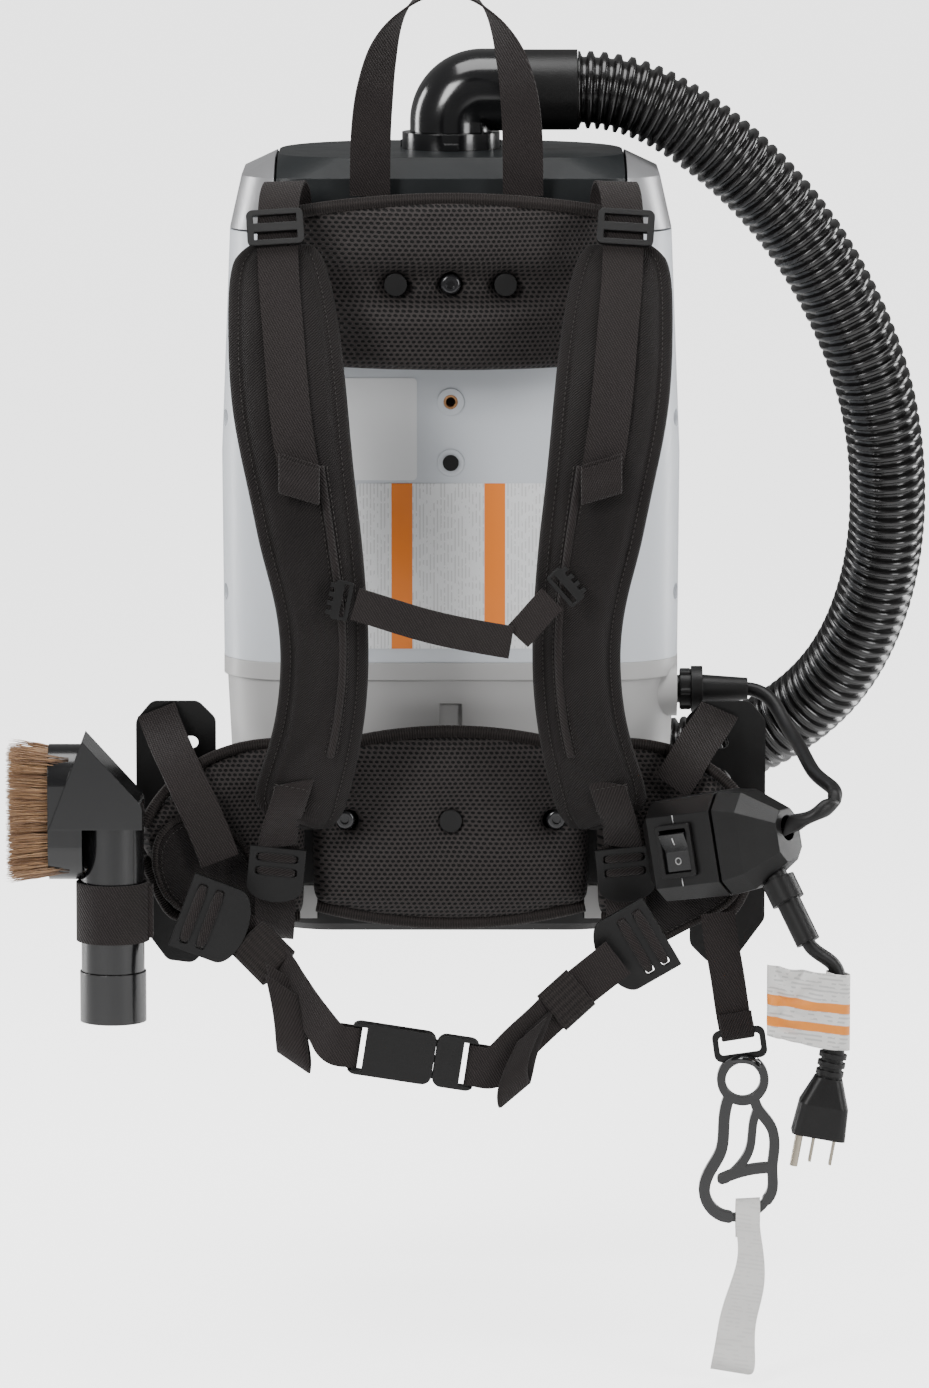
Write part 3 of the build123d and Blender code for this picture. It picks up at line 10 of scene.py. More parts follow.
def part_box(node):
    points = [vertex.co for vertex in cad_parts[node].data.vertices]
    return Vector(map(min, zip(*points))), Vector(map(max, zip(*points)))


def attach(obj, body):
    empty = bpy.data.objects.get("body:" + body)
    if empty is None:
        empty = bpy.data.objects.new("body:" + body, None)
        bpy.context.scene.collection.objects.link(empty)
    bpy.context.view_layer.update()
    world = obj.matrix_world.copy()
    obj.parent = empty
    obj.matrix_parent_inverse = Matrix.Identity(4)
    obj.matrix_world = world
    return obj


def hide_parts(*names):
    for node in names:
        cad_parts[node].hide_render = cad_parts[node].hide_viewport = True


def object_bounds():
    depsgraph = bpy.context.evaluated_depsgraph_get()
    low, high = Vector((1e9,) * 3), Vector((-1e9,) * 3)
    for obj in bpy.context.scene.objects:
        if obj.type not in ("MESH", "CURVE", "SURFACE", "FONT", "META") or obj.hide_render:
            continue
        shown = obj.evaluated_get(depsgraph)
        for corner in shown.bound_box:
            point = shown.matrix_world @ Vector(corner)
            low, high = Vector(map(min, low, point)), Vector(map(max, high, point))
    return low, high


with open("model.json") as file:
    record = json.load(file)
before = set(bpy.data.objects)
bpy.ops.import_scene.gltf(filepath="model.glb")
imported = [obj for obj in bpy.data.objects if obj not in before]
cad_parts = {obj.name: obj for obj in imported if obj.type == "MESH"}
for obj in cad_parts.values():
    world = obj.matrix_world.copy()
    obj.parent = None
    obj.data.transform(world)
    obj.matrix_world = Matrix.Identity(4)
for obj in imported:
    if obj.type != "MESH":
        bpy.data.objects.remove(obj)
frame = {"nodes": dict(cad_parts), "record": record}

cad_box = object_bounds()
nodes = frame["nodes"]
MM = 0.001
random.seed(11)


# ---------------------------------------------------------------- materials
class Graph:
    """A material with a principled shader and short helpers for its nodes."""

    def __init__(self, name, colour, rough=0.5, metal=0.0, coat=0.0, sheen=0.0, shine=0.5):
        self.mat = bpy.data.materials.new(name)
        self.mat.use_nodes = True
        self.tree = self.mat.node_tree
        self.out = self.tree.nodes["Principled BSDF"]
        self.set("Base Color", (*colour, 1))
        self.set("Roughness", rough)
        self.set("Metallic", metal)
        self.set("Coat Weight", coat)
        self.set("Coat Roughness", 0.12)
        self.set("Sheen Weight", sheen)
        self.set("Sheen Roughness", 0.45)
        self.set("Specular IOR Level", shine)

    def set(self, name, value):
        self.out.inputs[name].default_value = value

    def node(self, kind, **settings):
        made = self.tree.nodes.new(kind)
        for key, value in settings.items():
            setattr(made, key, value)
        return made

    def feed(self, socket, value):
        if isinstance(value, bpy.types.NodeSocket):
            self.tree.links.new(value, socket)
        else:
            socket.default_value = value

    def math(self, operation, *values):
        made = self.node("ShaderNodeMath", operation=operation)
        for socket, value in zip(made.inputs, values):
            self.feed(socket, value)
        return made.outputs[0]

    def coords(self, kind="Object"):
        texture = self.node("ShaderNodeTexCoord")
        return texture.outputs[kind]

    def split(self, vector):
        parts = self.node("ShaderNodeSeparateXYZ")
        self.feed(parts.inputs[0], vector)
        return parts.outputs[0], parts.outputs[1], parts.outputs[2]

    def noise(self, vector, scale, detail=3.0, rough=0.5):
        made = self.node("ShaderNodeTexNoise")
        self.feed(made.inputs["Vector"], vector)
        made.inputs["Scale"].default_value = scale
        made.inputs["Detail"].default_value = detail
        made.inputs["Roughness"].default_value = rough
        return made.outputs["Fac"]

    def smooth(self, value, low, high, to_low=0.0, to_high=1.0):
        made = self.node("ShaderNodeMapRange", interpolation_type="SMOOTHSTEP")
        for socket, number in zip(made.inputs, (value, low, high, to_low, to_high)):
            self.feed(socket, number)
        return made.outputs[0]

    def mix(self, share, first, second):
        made = self.node("ShaderNodeMix", data_type="RGBA")
        self.feed(made.inputs[0], share)
        for socket, colour in ((made.inputs[6], first), (made.inputs[7], second)):
            self.feed(socket, colour if isinstance(colour, bpy.types.NodeSocket) else (*colour, 1))
        return made.outputs[2]

    def colour(self, socket):
        self.feed(self.out.inputs["Base Color"], socket)

    def rough(self, socket):
        self.feed(self.out.inputs["Roughness"], socket)

    def bump(self, height, distance, strength=1.0):
        made = self.node("ShaderNodeBump")
        made.inputs["Distance"].default_value = distance
        made.inputs["Strength"].default_value = strength
        self.feed(made.inputs["Height"], height)
        current = self.out.inputs["Normal"]
        if current.is_linked:
            self.feed(made.inputs["Normal"], current.links[0].from_socket)
        self.feed(current, made.outputs[0])


def moulded(name, colour, rough, grain=0.00012, coat=0.0, metal=0.0, wear=0.06, edge=0.9 * MM, shine=0.5):
    """Injection-moulded plastic: fine spark texture, faint handling marks in the gloss."""
    g = Graph(name, colour, rough, metal, coat, shine=shine)
    place = g.coords()
    soft = g.node("ShaderNodeBevel", samples=4)
    soft.inputs["Radius"].default_value = edge
    g.feed(g.out.inputs["Normal"], soft.outputs[0])
    g.bump(g.noise(place, 1400, 2), grain)
    marks = g.noise(place, 18, 6, 0.65)
    g.rough(g.smooth(marks, 0.3, 0.75, rough - wear, rough + wear))
    dust = g.smooth(g.noise(place, 9, 4), 0.45, 0.8)
    lighter = tuple(c + (1 - c) * 0.003 for c in colour)
    g.colour(g.mix(dust, colour, lighter))
    return g.mat


def woven(name, colour, pitch, ratio, kind, depth=0.0003, coords="UV", sheen=0.35):
    """Woven cloth or tape: twill ribs run on a slant, tape ribs run straight across."""
    g = Graph(name, colour, 0.78, sheen=sheen * 0.12, shine=0.22)
    place = g.coords(coords)
    x, y, z = g.split(place)
    across, along = (x, y) if coords == "UV" else (x, z)
    turn = 2 * math.pi / pitch
    if kind == "twill":
        slant = g.math("ADD", g.math("MULTIPLY", across, turn), g.math("MULTIPLY", along, turn * ratio))
        rise = g.math("MULTIPLY", along, turn * 1.7)
        back = g.math("SUBTRACT", rise, g.math("MULTIPLY", across, turn * 0.4))
        rib = g.math("ADD", g.math("SINE", slant), g.math("MULTIPLY", g.math("SINE", back), 0.45))
    else:
        rib = g.math("MULTIPLY", g.math("SINE", g.math("MULTIPLY", along, turn)), 0.8)
        cross = g.math("SINE", g.math("MULTIPLY", across, turn * ratio))
        rib = g.math("ADD", rib, g.math("MULTIPLY", cross, 0.6))
    place_3d = g.coords("Object")
    fuzz = g.noise(place_3d, 900, 3)
    g.bump(g.math("ADD", rib, g.math("MULTIPLY", fuzz, 0.8)), depth)
    # Painted shade and painted highlight: rib valleys are coloured darker and rib crests lighter, following
    # the same rib height as the bump.
    shade = g.smooth(rib, -1.2, 1.2, 0.0, 1.0)
    groove_shade = tuple(c * 0.55 for c in colour)
    crest_highlight = tuple(min(1, c * 1.5) for c in colour)
    faded = g.smooth(g.noise(place_3d, 14, 4), 0.35, 0.8)
    cloth = g.mix(shade, groove_shade, crest_highlight)
    g.colour(g.mix(g.math("MULTIPLY", faded, 0.3), cloth, tuple(c * 2.0 for c in colour)))
    return g.mat


def spacer_mesh(name, colour, pitch_x=3.6, pitch_z=2.7):
    """Air mesh: staggered rows of open cells in a knitted net."""
    g = Graph(name, colour, 0.7, sheen=0.03, shine=0.22)
    x, y, z = g.split(g.coords())
    row = g.math("DIVIDE", z, pitch_z * MM)
    shift = g.math("MULTIPLY", g.math("FLOOR", row), 0.5)
    skew = g.math("ADD", x, g.math("MULTIPLY", y, 0.5))
    column = g.math("ADD", g.math("DIVIDE", skew, pitch_x * MM), shift)
    du = g.math("SUBTRACT", g.math("FRACT", column), 0.5)
    dv = g.math("SUBTRACT", g.math("FRACT", row), 0.5)
    far = g.math("SQRT", g.math("ADD", g.math("MULTIPLY", du, du), g.math("MULTIPLY", dv, dv)))
    net = g.smooth(far, 0.26, 0.42)
    g.bump(net, 0.0011)
    knit = g.noise(g.coords(), 1100, 2)
    g.bump(knit, 0.0003)
    # Painted shade: the open cells are coloured near-black, standing in for the shade inside them.
    cell_shade = tuple(c * 0.05 for c in colour)
    g.colour(g.mix(net, cell_shade, colour))
    return g.mat


def label_film(name):
    """Blank printed film: plain bars and fine ruled lines, no lettering."""
    g = Graph(name, (0.86, 0.87, 0.88), 0.35, coat=0.2)
    x, y, z = g.split(g.coords())
    low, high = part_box("blank_labels")
    in_big = g.math("LESS_THAN", z, 0.2842)
    lines = g.math("GREATER_THAN", g.math("SINE", g.math("MULTIPLY", x, 2 * math.pi / (2.2 * MM))), 0.35)
    broken = g.math("GREATER_THAN", g.noise(g.coords(), 260, 1), 0.46)
    grey = g.math("MULTIPLY", g.math("MULTIPLY", lines, in_big), broken)
    base = g.mix(g.math("MULTIPLY", grey, 0.55), (0.86, 0.87, 0.88), (0.5, 0.5, 0.5))
    bars = None
    for start in (-37.0, 21.0, 66.0):
        inside = g.math("MULTIPLY", g.math("GREATER_THAN", x, start * MM),
                        g.math("LESS_THAN", x, (start + 13) * MM))
        bars = inside if bars is None else g.math("ADD", bars, inside)
    bars = g.math("MULTIPLY", bars, in_big)
    g.colour(g.mix(bars, base, (0.95, 0.24, 0.02)))
    return g.mat


def tag_sheet(name, mark, lines, bars):
    """Thin tag stock: plain colour bars, faint ruled lines and a little crumple, no lettering."""
    stock = (0.72, 0.71, 0.69)
    g = Graph(name, stock, 0.55)
    x, y, z = g.split(g.coords())
    slant = g.math("ADD", z, g.math("MULTIPLY", x, 0.15))
    rule = g.math("GREATER_THAN", g.math("SINE", g.math("MULTIPLY", slant, 2 * math.pi / (2.6 * MM))), 0.2)
    broken = g.math("GREATER_THAN", g.noise(g.coords(), 190, 1), 0.5)
    base = g.mix(g.math("MULTIPLY", g.math("MULTIPLY", rule, broken), lines), stock, (0.3, 0.3, 0.3))
    share = None
    for start, end in bars:
        inside = g.math("MULTIPLY", g.math("GREATER_THAN", slant, start * MM),
                        g.math("LESS_THAN", slant, end * MM))
        share = inside if share is None else g.math("ADD", share, inside)
    if share is not None:
        base = g.mix(share, base, mark)
    g.colour(base)
    g.bump(g.noise(g.coords(), 60, 3), 0.0012)
    return g.mat


def hair(name):
    """Natural bristle: each strand its own brown, darker at the root."""
    g = Graph(name, (0.3, 0.16, 0.07), 0.45, sheen=0.2)
    x, y, z = g.split(g.coords("UV"))
    tone = g.mix(x, (0.13, 0.055, 0.02), (0.55, 0.33, 0.17))
    g.colour(g.mix(g.smooth(y, 0.0, 0.35), (0.06, 0.03, 0.015), tone))
    return g.mat


BLACK = (0.0042, 0.0039, 0.0039)
CLOTH = (0.0125, 0.0102, 0.0098)
TAPE = (0.0190, 0.0152, 0.0147)
look = {
    "light_housing": moulded("light_shell", (0.65, 0.68, 0.72), 0.42, 0.00006, coat=0.08),
    "grey_housing": moulded("grey_shell", (0.46, 0.455, 0.45), 0.42, 0.00006, coat=0.08),
    "charcoal_plastic": moulded("charcoal_lid", (0.0060, 0.0080, 0.0090), 0.44, 0.0001, coat=0.1, shine=0.35),
    "black_plastic": moulded("black_moulding", BLACK, 0.42, 0.0001, shine=0.38),
    "black_gloss": moulded("gloss_moulding", (0.005, 0.005, 0.0055), 0.2, 0.00002, coat=0.5),
    "hose_plastic": moulded("hose_skin", (0.006, 0.0055, 0.0055), 0.24, 0.00004, coat=0.4),
    "rubber_seal": moulded("seal_rubber", (0.03, 0.03, 0.03), 0.7, 0.0001),
    "silver_latch": moulded("silver_paint", (0.36, 0.36, 0.37), 0.36, 0.00005, metal=0.55),
    "brass": moulded("turned_brass", (0.62, 0.33, 0.16), 0.25, 0.00002, metal=1.0),
    "label_film": label_film("label_film"),
    "screw_steel": moulded("black_screw", (0.02, 0.02, 0.022), 0.18, 0.00002, coat=0.6, metal=0.4),
    "filter_paper": moulded("bag_paper", (0.75, 0.7, 0.6), 0.8, 0.0003),
    "filter_foam": moulded("filter_foam", (0.25, 0.25, 0.27), 0.9, 0.0006),
    "motor_case": moulded("motor_case", (0.05, 0.05, 0.05), 0.35),
    "bearing_steel": moulded("ground_steel", (0.6, 0.6, 0.62), 0.25, metal=1.0),
    "iron_core": moulded("iron_core", (0.25, 0.25, 0.26), 0.5, metal=0.8),
    "fan_alloy": moulded("fan_alloy", (0.7, 0.7, 0.72), 0.35, metal=1.0),
    "plate_steel": moulded("powder_coat", (0.02, 0.02, 0.02), 0.5, 0.0002),
    "mesh_fabric": spacer_mesh("air_mesh", (0.036, 0.0305, 0.0295)),
    "strap_fabric": woven("strap_twill", CLOTH, 1.9 * MM, 1.0, "twill"),
    "webbing": woven("webbing_weave", TAPE, 1.7 * MM, 0.6, "twill", 0.00022, "Object", 0.5),
    "bristle": hair("brown_bristle"),
    "cable_rubber": moulded("cable_rubber", (0.005, 0.0046, 0.0046), 0.46, 0.0001, shine=0.38),
    "plated_brass": moulded("worn_plate", (0.45, 0.40, 0.32), 0.3, 0.00003, metal=1.0, wear=0.15),
    "tag_film": tag_sheet("tag_film", (0.80, 0.25, 0.02), 0.5, ((8.5, 14.5), (-4.5, 1.0))),
    "tag_paper": tag_sheet("tag_paper", (0.35, 0.35, 0.35), 0.14, ()),
}
binding = woven("binding_tape", (0.0170, 0.0138, 0.0130), 1.6 * MM, 0.35, "rib", 0.0003)
tape = woven("tape_weave", TAPE, 1.7 * MM, 0.6, "twill", 0.00025, "UV", 0.5)
thread = moulded("thread", (0.034, 0.029, 0.027), 0.6, 0.0001)
mark_white = moulded("mark_white", (0.8, 0.8, 0.8), 0.5)

slot_of = {s["node"]: s["material_slot"] for s in frame["record"]["subparts"]}
for node_name, cad_object in nodes.items():
    cad_object.data.materials.clear()
    cad_object.data.materials.append(look[slot_of[node_name]])


# ---------------------------------------------------------------- geometry helpers
def add_object(name, mesh, body, slot, *materials):
    made = bpy.data.objects.new(name, mesh)
    bpy.context.scene.collection.objects.link(made)
    mesh.materials.clear()
    for material in materials or (look[slot],):
        mesh.materials.append(material)
    mesh.polygons.foreach_set("use_smooth", [True] * len(mesh.polygons))
    if body:
        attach(made, body)
    return made


def grid_mesh(name, points, uv=None, close_u=True, caps=True, tags=None):
    """Mesh from an array of rows of points; u runs along a row and may close on itself."""
    points = np.asarray(points, float)
    rows, count = points.shape[:2]
    faces, tones = [], []
    span = count if close_u else count - 1
    for r in range(rows - 1):
        for c in range(span):
            d = (c + 1) % count
            faces.append((r * count + c, r * count + d, (r + 1) * count + d, (r + 1) * count + c))
            tones.append(tags[c] if tags is not None else 0)
    if close_u and caps:
        faces.append(tuple(range(count - 1, -1, -1)))
        faces.append(tuple((rows - 1) * count + c for c in range(count)))
        tones += [0, 0]
    mesh = bpy.data.meshes.new(name)
    mesh.from_pydata(points.reshape(-1, 3).tolist(), [], faces)
    mesh.polygons.foreach_set("material_index", tones)
    if uv is not None:
        layer = mesh.uv_layers.new(name="UVMap")
        flat = []
        for r in range(rows - 1):
            for c in range(span):
                d = c + 1
                for rr, cc in ((r, c), (r, d), (r + 1, d), (r + 1, c)):
                    flat += [uv[0][cc % len(uv[0])] if cc < len(uv[0]) else uv[0][-1], uv[1][rr]]
        flat += [0.0] * (len(layer.data) * 2 - len(flat))
        layer.data.foreach_set("uv", flat)
    mesh.update()
    return mesh


def smooth_line(points, count):
    """Natural cubic through the points, resampled at even steps."""
    p = np.asarray(points, float)
    step = np.maximum(np.linalg.norm(np.diff(p, axis=0), axis=1), 1e-9)
    t = np.concatenate([[0], np.cumsum(step)])
    n = len(p)
    if n == 2:
        return p[0] + (p[1] - p[0]) * np.linspace(0, 1, count)[:, None]
    a = np.zeros((n, n))
    b = np.zeros((n, 3))
    a[0, 0] = a[-1, -1] = 1
    for i in range(1, n - 1):
        a[i, i - 1:i + 2] = step[i - 1], 2 * (step[i - 1] + step[i]), step[i]
        b[i] = 6 * ((p[i + 1] - p[i]) / step[i] - (p[i] - p[i - 1]) / step[i - 1])
    m = np.linalg.solve(a, b)

    def at(q):
        k = np.clip(np.searchsorted(t, q, side="right") - 1, 0, n - 2)
        h = step[k][:, None]
        u = (q - t[k])[:, None]
        w = h - u
        return (m[k] * w ** 3 + m[k + 1] * u ** 3) / (6 * h) + (p[k] / h - m[k] * h / 6) * w + (
            p[k + 1] / h - m[k + 1] * h / 6) * u

    fine = at(np.linspace(0, t[-1], count * 6))
    run = np.concatenate([[0], np.cumsum(np.linalg.norm(np.diff(fine, axis=0), axis=1))])
    even = np.linspace(0, run[-1], count)
    return np.stack([np.interp(even, run, fine[:, i]) for i in range(3)], axis=1)


def unit(v):
    v = np.asarray(v, float)
    return v / np.maximum(np.linalg.norm(v, axis=-1, keepdims=True), 1e-12)


def turning_frames(line, side):
    """Tangent, side and up vectors carried along a line without twist."""
    tangent = unit(np.gradient(line, axis=0))
    side_now = np.asarray(side, float)
    sides = []
    for t in tangent:
        side_now = unit(side_now - t * side_now.dot(t))
        sides.append(side_now)
    sides = np.array(sides)
    return tangent, sides, np.cross(tangent, sides)


def swept_tube(name, line, radii, around, side=(0, 0, 1), flat=1.0):
    """Round or flattened tube along a line, with one radius for each station."""
    _, s, u = turning_frames(line, side)
    angle = np.linspace(0, 2 * math.pi, around, endpoint=False)
    r = np.asarray(radii, float)[:, None, None]
    ring = np.cos(angle)[None, :, None] * s[:, None, :] + flat * np.sin(angle)[None, :, None] * u[:, None, :]
    run = np.concatenate([[0], np.cumsum(np.linalg.norm(np.diff(line, axis=0), axis=1))])
    girth = np.linspace(0, 2 * math.pi * float(np.mean(radii)), around + 1)
    return grid_mesh(name, line[:, None, :] + r * ring, (girth, run))


def cad_slices(node, axis, low, high, count):
    """Cross-sections of a CAD node: for each station, the points where its mesh meets that plane."""
    mesh = nodes[node].data
    co = np.array([v.co for v in mesh.vertices], float)
    ends = np.array([e.vertices[:] for e in mesh.edges], int)
    a, b = co[ends[:, 0]], co[ends[:, 1]]
    cuts = []
    for level in np.linspace(low, high, count):
        side_a, side_b = a[:, axis] - level, b[:, axis] - level
        hit = side_a * side_b < 0
        share = side_a[hit] / (side_a[hit] - side_b[hit])
        cuts.append(a[hit] + (b[hit] - a[hit]) * share[:, None])
    return cuts


def evened(values, reach):
    """Moving average along the first axis, ends held."""
    padded = np.concatenate([np.repeat(values[:1], reach, 0), values, np.repeat(values[-1:], reach, 0)])
    return np.array([padded[i:i + 2 * reach + 1].mean(0) for i in range(len(values))])


def applied(made):
    """Bakes an object's modifiers into its mesh."""
    depsgraph = bpy.context.evaluated_depsgraph_get()
    depsgraph.update()
    mesh = bpy.data.meshes.new_from_object(made.evaluated_get(depsgraph))
    made.modifiers.clear()
    made.data = mesh
    return made


def stitch_row(line, normal, pitch=3.4 * MM, length=2.3 * MM, radius=0.38 * MM):
    """Vertices and faces for a row of raised thread stitches along a line."""
    run = np.concatenate([[0], np.cumsum(np.linalg.norm(np.diff(line, axis=0), axis=1))])
    verts, faces = [], []
    normal = unit(np.asarray(normal, float))
    start = 0.0
    while start + length < run[-1]:
        ends = []
        for q in (start, start + length / 2, start + length):
            ends.append(np.array([np.interp(q, run, line[:, i]) for i in range(3)]))
        along = unit(ends[2] - ends[0])
        side = unit(np.cross(along, normal))
        base = len(verts)
        for k, (centre, scale, lift) in enumerate(zip(ends, (0.35, 1.0, 0.35), (-0.2, 0.5, -0.2))):
            for q in range(6):
                angle = q * math.pi / 3
                verts.append(centre + radius * (scale * math.cos(angle) * side
                                                + (scale * math.sin(angle) + lift) * normal))
        for k in (0, 6):
            for q in range(6):
                w = (q + 1) % 6
                faces.append((base + k + q, base + k + w, base + k + 6 + w, base + k + 6 + q))
        faces.append(tuple(base + q for q in range(5, -1, -1)))
        faces.append(tuple(base + 12 + q for q in range(6)))
        start += pitch
    return verts, faces


def stitching(name, rows, body, slot):
    """One object holding several rows of stitches; rows are (line, normal)."""
    verts, faces = [], []
    for line, normal in rows:
        v, f = stitch_row(np.asarray(line, float), normal)
        faces += [tuple(i + len(verts) for i in face) for face in f]
        verts += v
    mesh = bpy.data.meshes.new(name)
    mesh.from_pydata([tuple(v) for v in verts], [], faces)
    return add_object(name, mesh, body, slot, thread)


# ---------------------------------------------------------------- corrugated hose
hose_line = smooth_line([
    (80.2, 0, 523), (92, 0, 522.6), (112, 0.6, 519), (136, 2.3, 509), (162, 5, 492), (197, 12, 461),
    (229, 20, 421), (255, 30, 374), (272, 42, 328), (281, 58, 274), (281, 76, 227), (272, 98, 178),
    (253, 122, 135), (226, 144, 104), (190, 160, 82), (140, 171, 71), (90, 175, 67), (40, 176, 66),
    (-10, 176, 66), (-62, 176, 66)], 1201) * MM
RIB_PITCH = 7.4 * MM
hose_run = np.concatenate([[0], np.cumsum(np.linalg.norm(np.diff(hose_line, axis=0), axis=1))])
phase = 2 * math.pi * hose_run / RIB_PITCH
crest = np.clip(0.5 + 0.75 * np.cos(phase), 0, 1)
crest = crest * crest * (3 - 2 * crest)
hose_radius = (20.9 + 3.7 * crest) * MM
hose_skin_mesh = swept_tube("hose_corrugated", hose_line, hose_radius, 44, (0, 1, 0))
hose_skin = add_object("hose_corrugated", hose_skin_mesh,
                       "hose", "hose_plastic")
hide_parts("hose")


# ---------------------------------------------------------------- padded shoulder straps
def shoulder_strap(node, sign):
    """Padded strap rebuilt over its CAD solid: filled body, bound edges, slider track and seams."""
    low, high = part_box(node)
    stations = 190
    cuts = cad_slices(node, 2, high.z - 1.2 * MM, low.z + 1.2 * MM, stations)
    middle, across, front, size = [], [], [], []
    for cut in cuts:
        flat = cut[:, :2]
        centre = flat.mean(0)
        direction = np.linalg.svd(flat - centre, full_matrices=False)[2][0]
        if direction[0] < 0:
            direction = -direction
        facing = np.array([direction[1], -direction[0]])
        s = (flat - centre) @ direction
        d = (flat - centre) @ facing
        mid = centre + direction * (s.min() + s.max()) / 2 + facing * (d.min() + d.max()) / 2
        middle.append((*mid, cut[0, 2]))
        across.append((*direction, 0))
        front.append((*facing, 0))
        size.append((s.max() - s.min(), d.max() - d.min()))
    middle, across = evened(np.array(middle), 6), unit(evened(np.array(across), 8))
    front, size = unit(evened(np.array(front), 8)), evened(np.array(size), 5)
    run = np.concatenate([[0], np.cumsum(np.linalg.norm(np.diff(middle, axis=0), axis=1))])
    bind = 8.0 * MM
    front_t = np.concatenate([np.linspace(-1, -0.74, 9), np.linspace(-0.7, 0.7, 25), np.linspace(0.74, 1, 9)])
    back_t = front_t[::-1][1:-1]
    rows = []
    for i in range(stations):
        width, thick = size[i]
        end = min(run[i], run[-1] - run[i]) / (9 * MM)
        close = math.sqrt(max(0.04, 1 - (1 - min(1, end)) ** 2))
        edge = 1 - 2 * bind / width
        row = []
        for t_list, face in ((front_t, 1), (back_t, -1)):
            for t in t_list:
                a = abs(t)
                if a > edge:
                    rise = 0.17 * math.sqrt(max(0.0, 1 - ((a - edge) / (1 - edge)) ** 4))
                else:
                    rise = 0.13 + 0.37 * math.sqrt(max(0.0, 1 - (a / edge) ** 3.2))
                if face < 0:
                    rise = min(rise, 0.42)
                rise *= thick * face * (0.55 + 0.45 * close)
                p = middle[i] + across[i] * (t * width / 2 * (0.86 + 0.14 * close)) + front[i] * rise
                if face > 0 and a < edge:
                    q = Vector((t * 1.4, run[i] * 26, sign))
                    crease = noise.noise(q) + 0.5 * noise.noise(q * 2.3)
                    p = p + front[i] * crease * 1.5 * MM * (1 - (a / edge) ** 4)
                row.append(p)
        rows.append(row)
    count = len(rows[0])
    tags = [1 if (abs(t) >= 0.75) else 0 for t in list(front_t) + list(back_t)]
    ring = np.linalg.norm(np.diff(np.array(rows[stations // 2] + rows[stations // 2][:1]), axis=0), axis=1)
    mesh = grid_mesh(node + "_padded", rows, (np.concatenate([[0], np.cumsum(ring)]), run), tags=tags)
    made = add_object(node + "_padded", mesh, "pack", "strap_fabric", look["strap_fabric"], binding)
    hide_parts(node)

    def on_front(i, t, lift):
        width, thick = size[i]
        return middle[i] + across[i] * (t * width / 2) + front[i] * (thick * 0.5 * lift)

    inner = sign
    track = range(int(stations * 0.36), int(stations * 0.86))
    line = np.array([on_front(i, inner * 0.42, 0.93) for i in track])
    cord = add_object(node + "_track", swept_tube(node + "_track", line, [2.5 * MM] * len(line), 12),
                      "pack", "strap_fabric", tape)
    seams = []
    for t in (-1, 1):
        line = np.array([on_front(i, t * (1 - 2 * 6.4 * MM / size[i][0]), 0.36)
                         for i in range(4, stations - 4)])
        seams.append((line, (0, -1, 0)))
    for offset in (0.30, 0.54):
        line = np.array([on_front(i, inner * offset, 0.93) for i in track])
        seams.append((line, (0, -1, 0)))
    stitching(node + "_seams", seams, "pack", "strap_fabric")
    return made


shoulder_strap("shoulder_strap_left", 1)
shoulder_strap("shoulder_strap_right", -1)


# ---------------------------------------------------------------- stuffed pads and belt wings
def start_puff(node, name, materials, shrink, pinned):
    """Copy of a CAD pad, remeshed and set up to be blown up as cloth."""
    mesh = nodes[node].data.copy()
    low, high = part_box(node)
    centre = (low + high) / 2
    for v in mesh.vertices:
        v.co = centre + (v.co - centre) * shrink
    made = bpy.data.objects.new(name, mesh)
    bpy.context.scene.collection.objects.link(made)
    modifier = made.modifiers.new("voxels", "REMESH")
    modifier.mode = "VOXEL"
    modifier.voxel_size = 4.5 * MM
    applied(made)
    group = made.vertex_groups.new(name="held")
    group.add([v.index for v in made.data.vertices if pinned(v.co)], 1.0, "REPLACE")
    made["start"] = [c for v in made.data.vertices for c in v.co]
    cloth = made.modifiers.new("Cloth", "CLOTH")
    cloth.settings.quality = 5
    cloth.settings.mass = 0.25
    cloth.settings.tension_stiffness = 12
    cloth.settings.compression_stiffness = 12
    cloth.settings.bending_stiffness = 0.4
    cloth.settings.use_pressure = True
    cloth.settings.uniform_pressure_force = 4.0
    cloth.settings.vertex_group_mass = "held"
    cloth.settings.effector_weights.gravity = 0
    made.data.materials.clear()
    for material in materials:
        made.data.materials.append(material)
    return made


def finish_puff(made, node, body, cap, shape, subdivide=1):
    """Caps how far the cloth moved, shapes the tufts and seams, then subdivides."""
    depsgraph = bpy.context.evaluated_depsgraph_get()
    now = np.array([v.co for v in made.evaluated_get(depsgraph).data.vertices], float)
    start = np.array(list(made["start"]), float).reshape(-1, 3)
    del made["start"]
    made.modifiers.clear()
    move = now - start
    far = np.linalg.norm(move, axis=1, keepdims=True)
    move *= np.minimum(1.0, cap / np.maximum(far, 1e-9))
    for v, p in zip(made.data.vertices, start + move):
        v.co = shape(Vector(p))
    modifier = made.modifiers.new("smooth", "SUBSURF")
    modifier.levels = modifier.render_levels = subdivide
    applied(made)
    made.data.polygons.foreach_set("use_smooth", [True] * len(made.data.polygons))
    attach(made, body)
    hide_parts(node)
    return made


def dimple(p, x, z, depth, spread):
    return depth * math.exp(-((p.x - x) ** 2 + (p.z - z) ** 2) / (2 * spread ** 2))


upper_low, upper_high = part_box("upper_pad")
lumbar_low, lumbar_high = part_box("lumbar_pad")
UPPER_TUFTS = [(-34 * MM, 411.3 * MM), (0.0, 411.3 * MM), (34 * MM, 411.3 * MM)]
LUMBAR_TUFTS = [(-66 * MM, 77 * MM), (0.0, 77 * MM), (66 * MM, 77 * MM)]


def near(p, tufts, reach):
    return any((p.x - x) ** 2 + (p.z - z) ** 2 < reach ** 2 for x, z in tufts)


def arched(x, z):
    """Drop of the upper pad's top towards its two corners."""
    rise = min(1.0, max(0.0, (z - 411 * MM) / (upper_high.z - 411 * MM)))
    return z - 11 * MM * rise * (x / (105 * MM)) ** 2


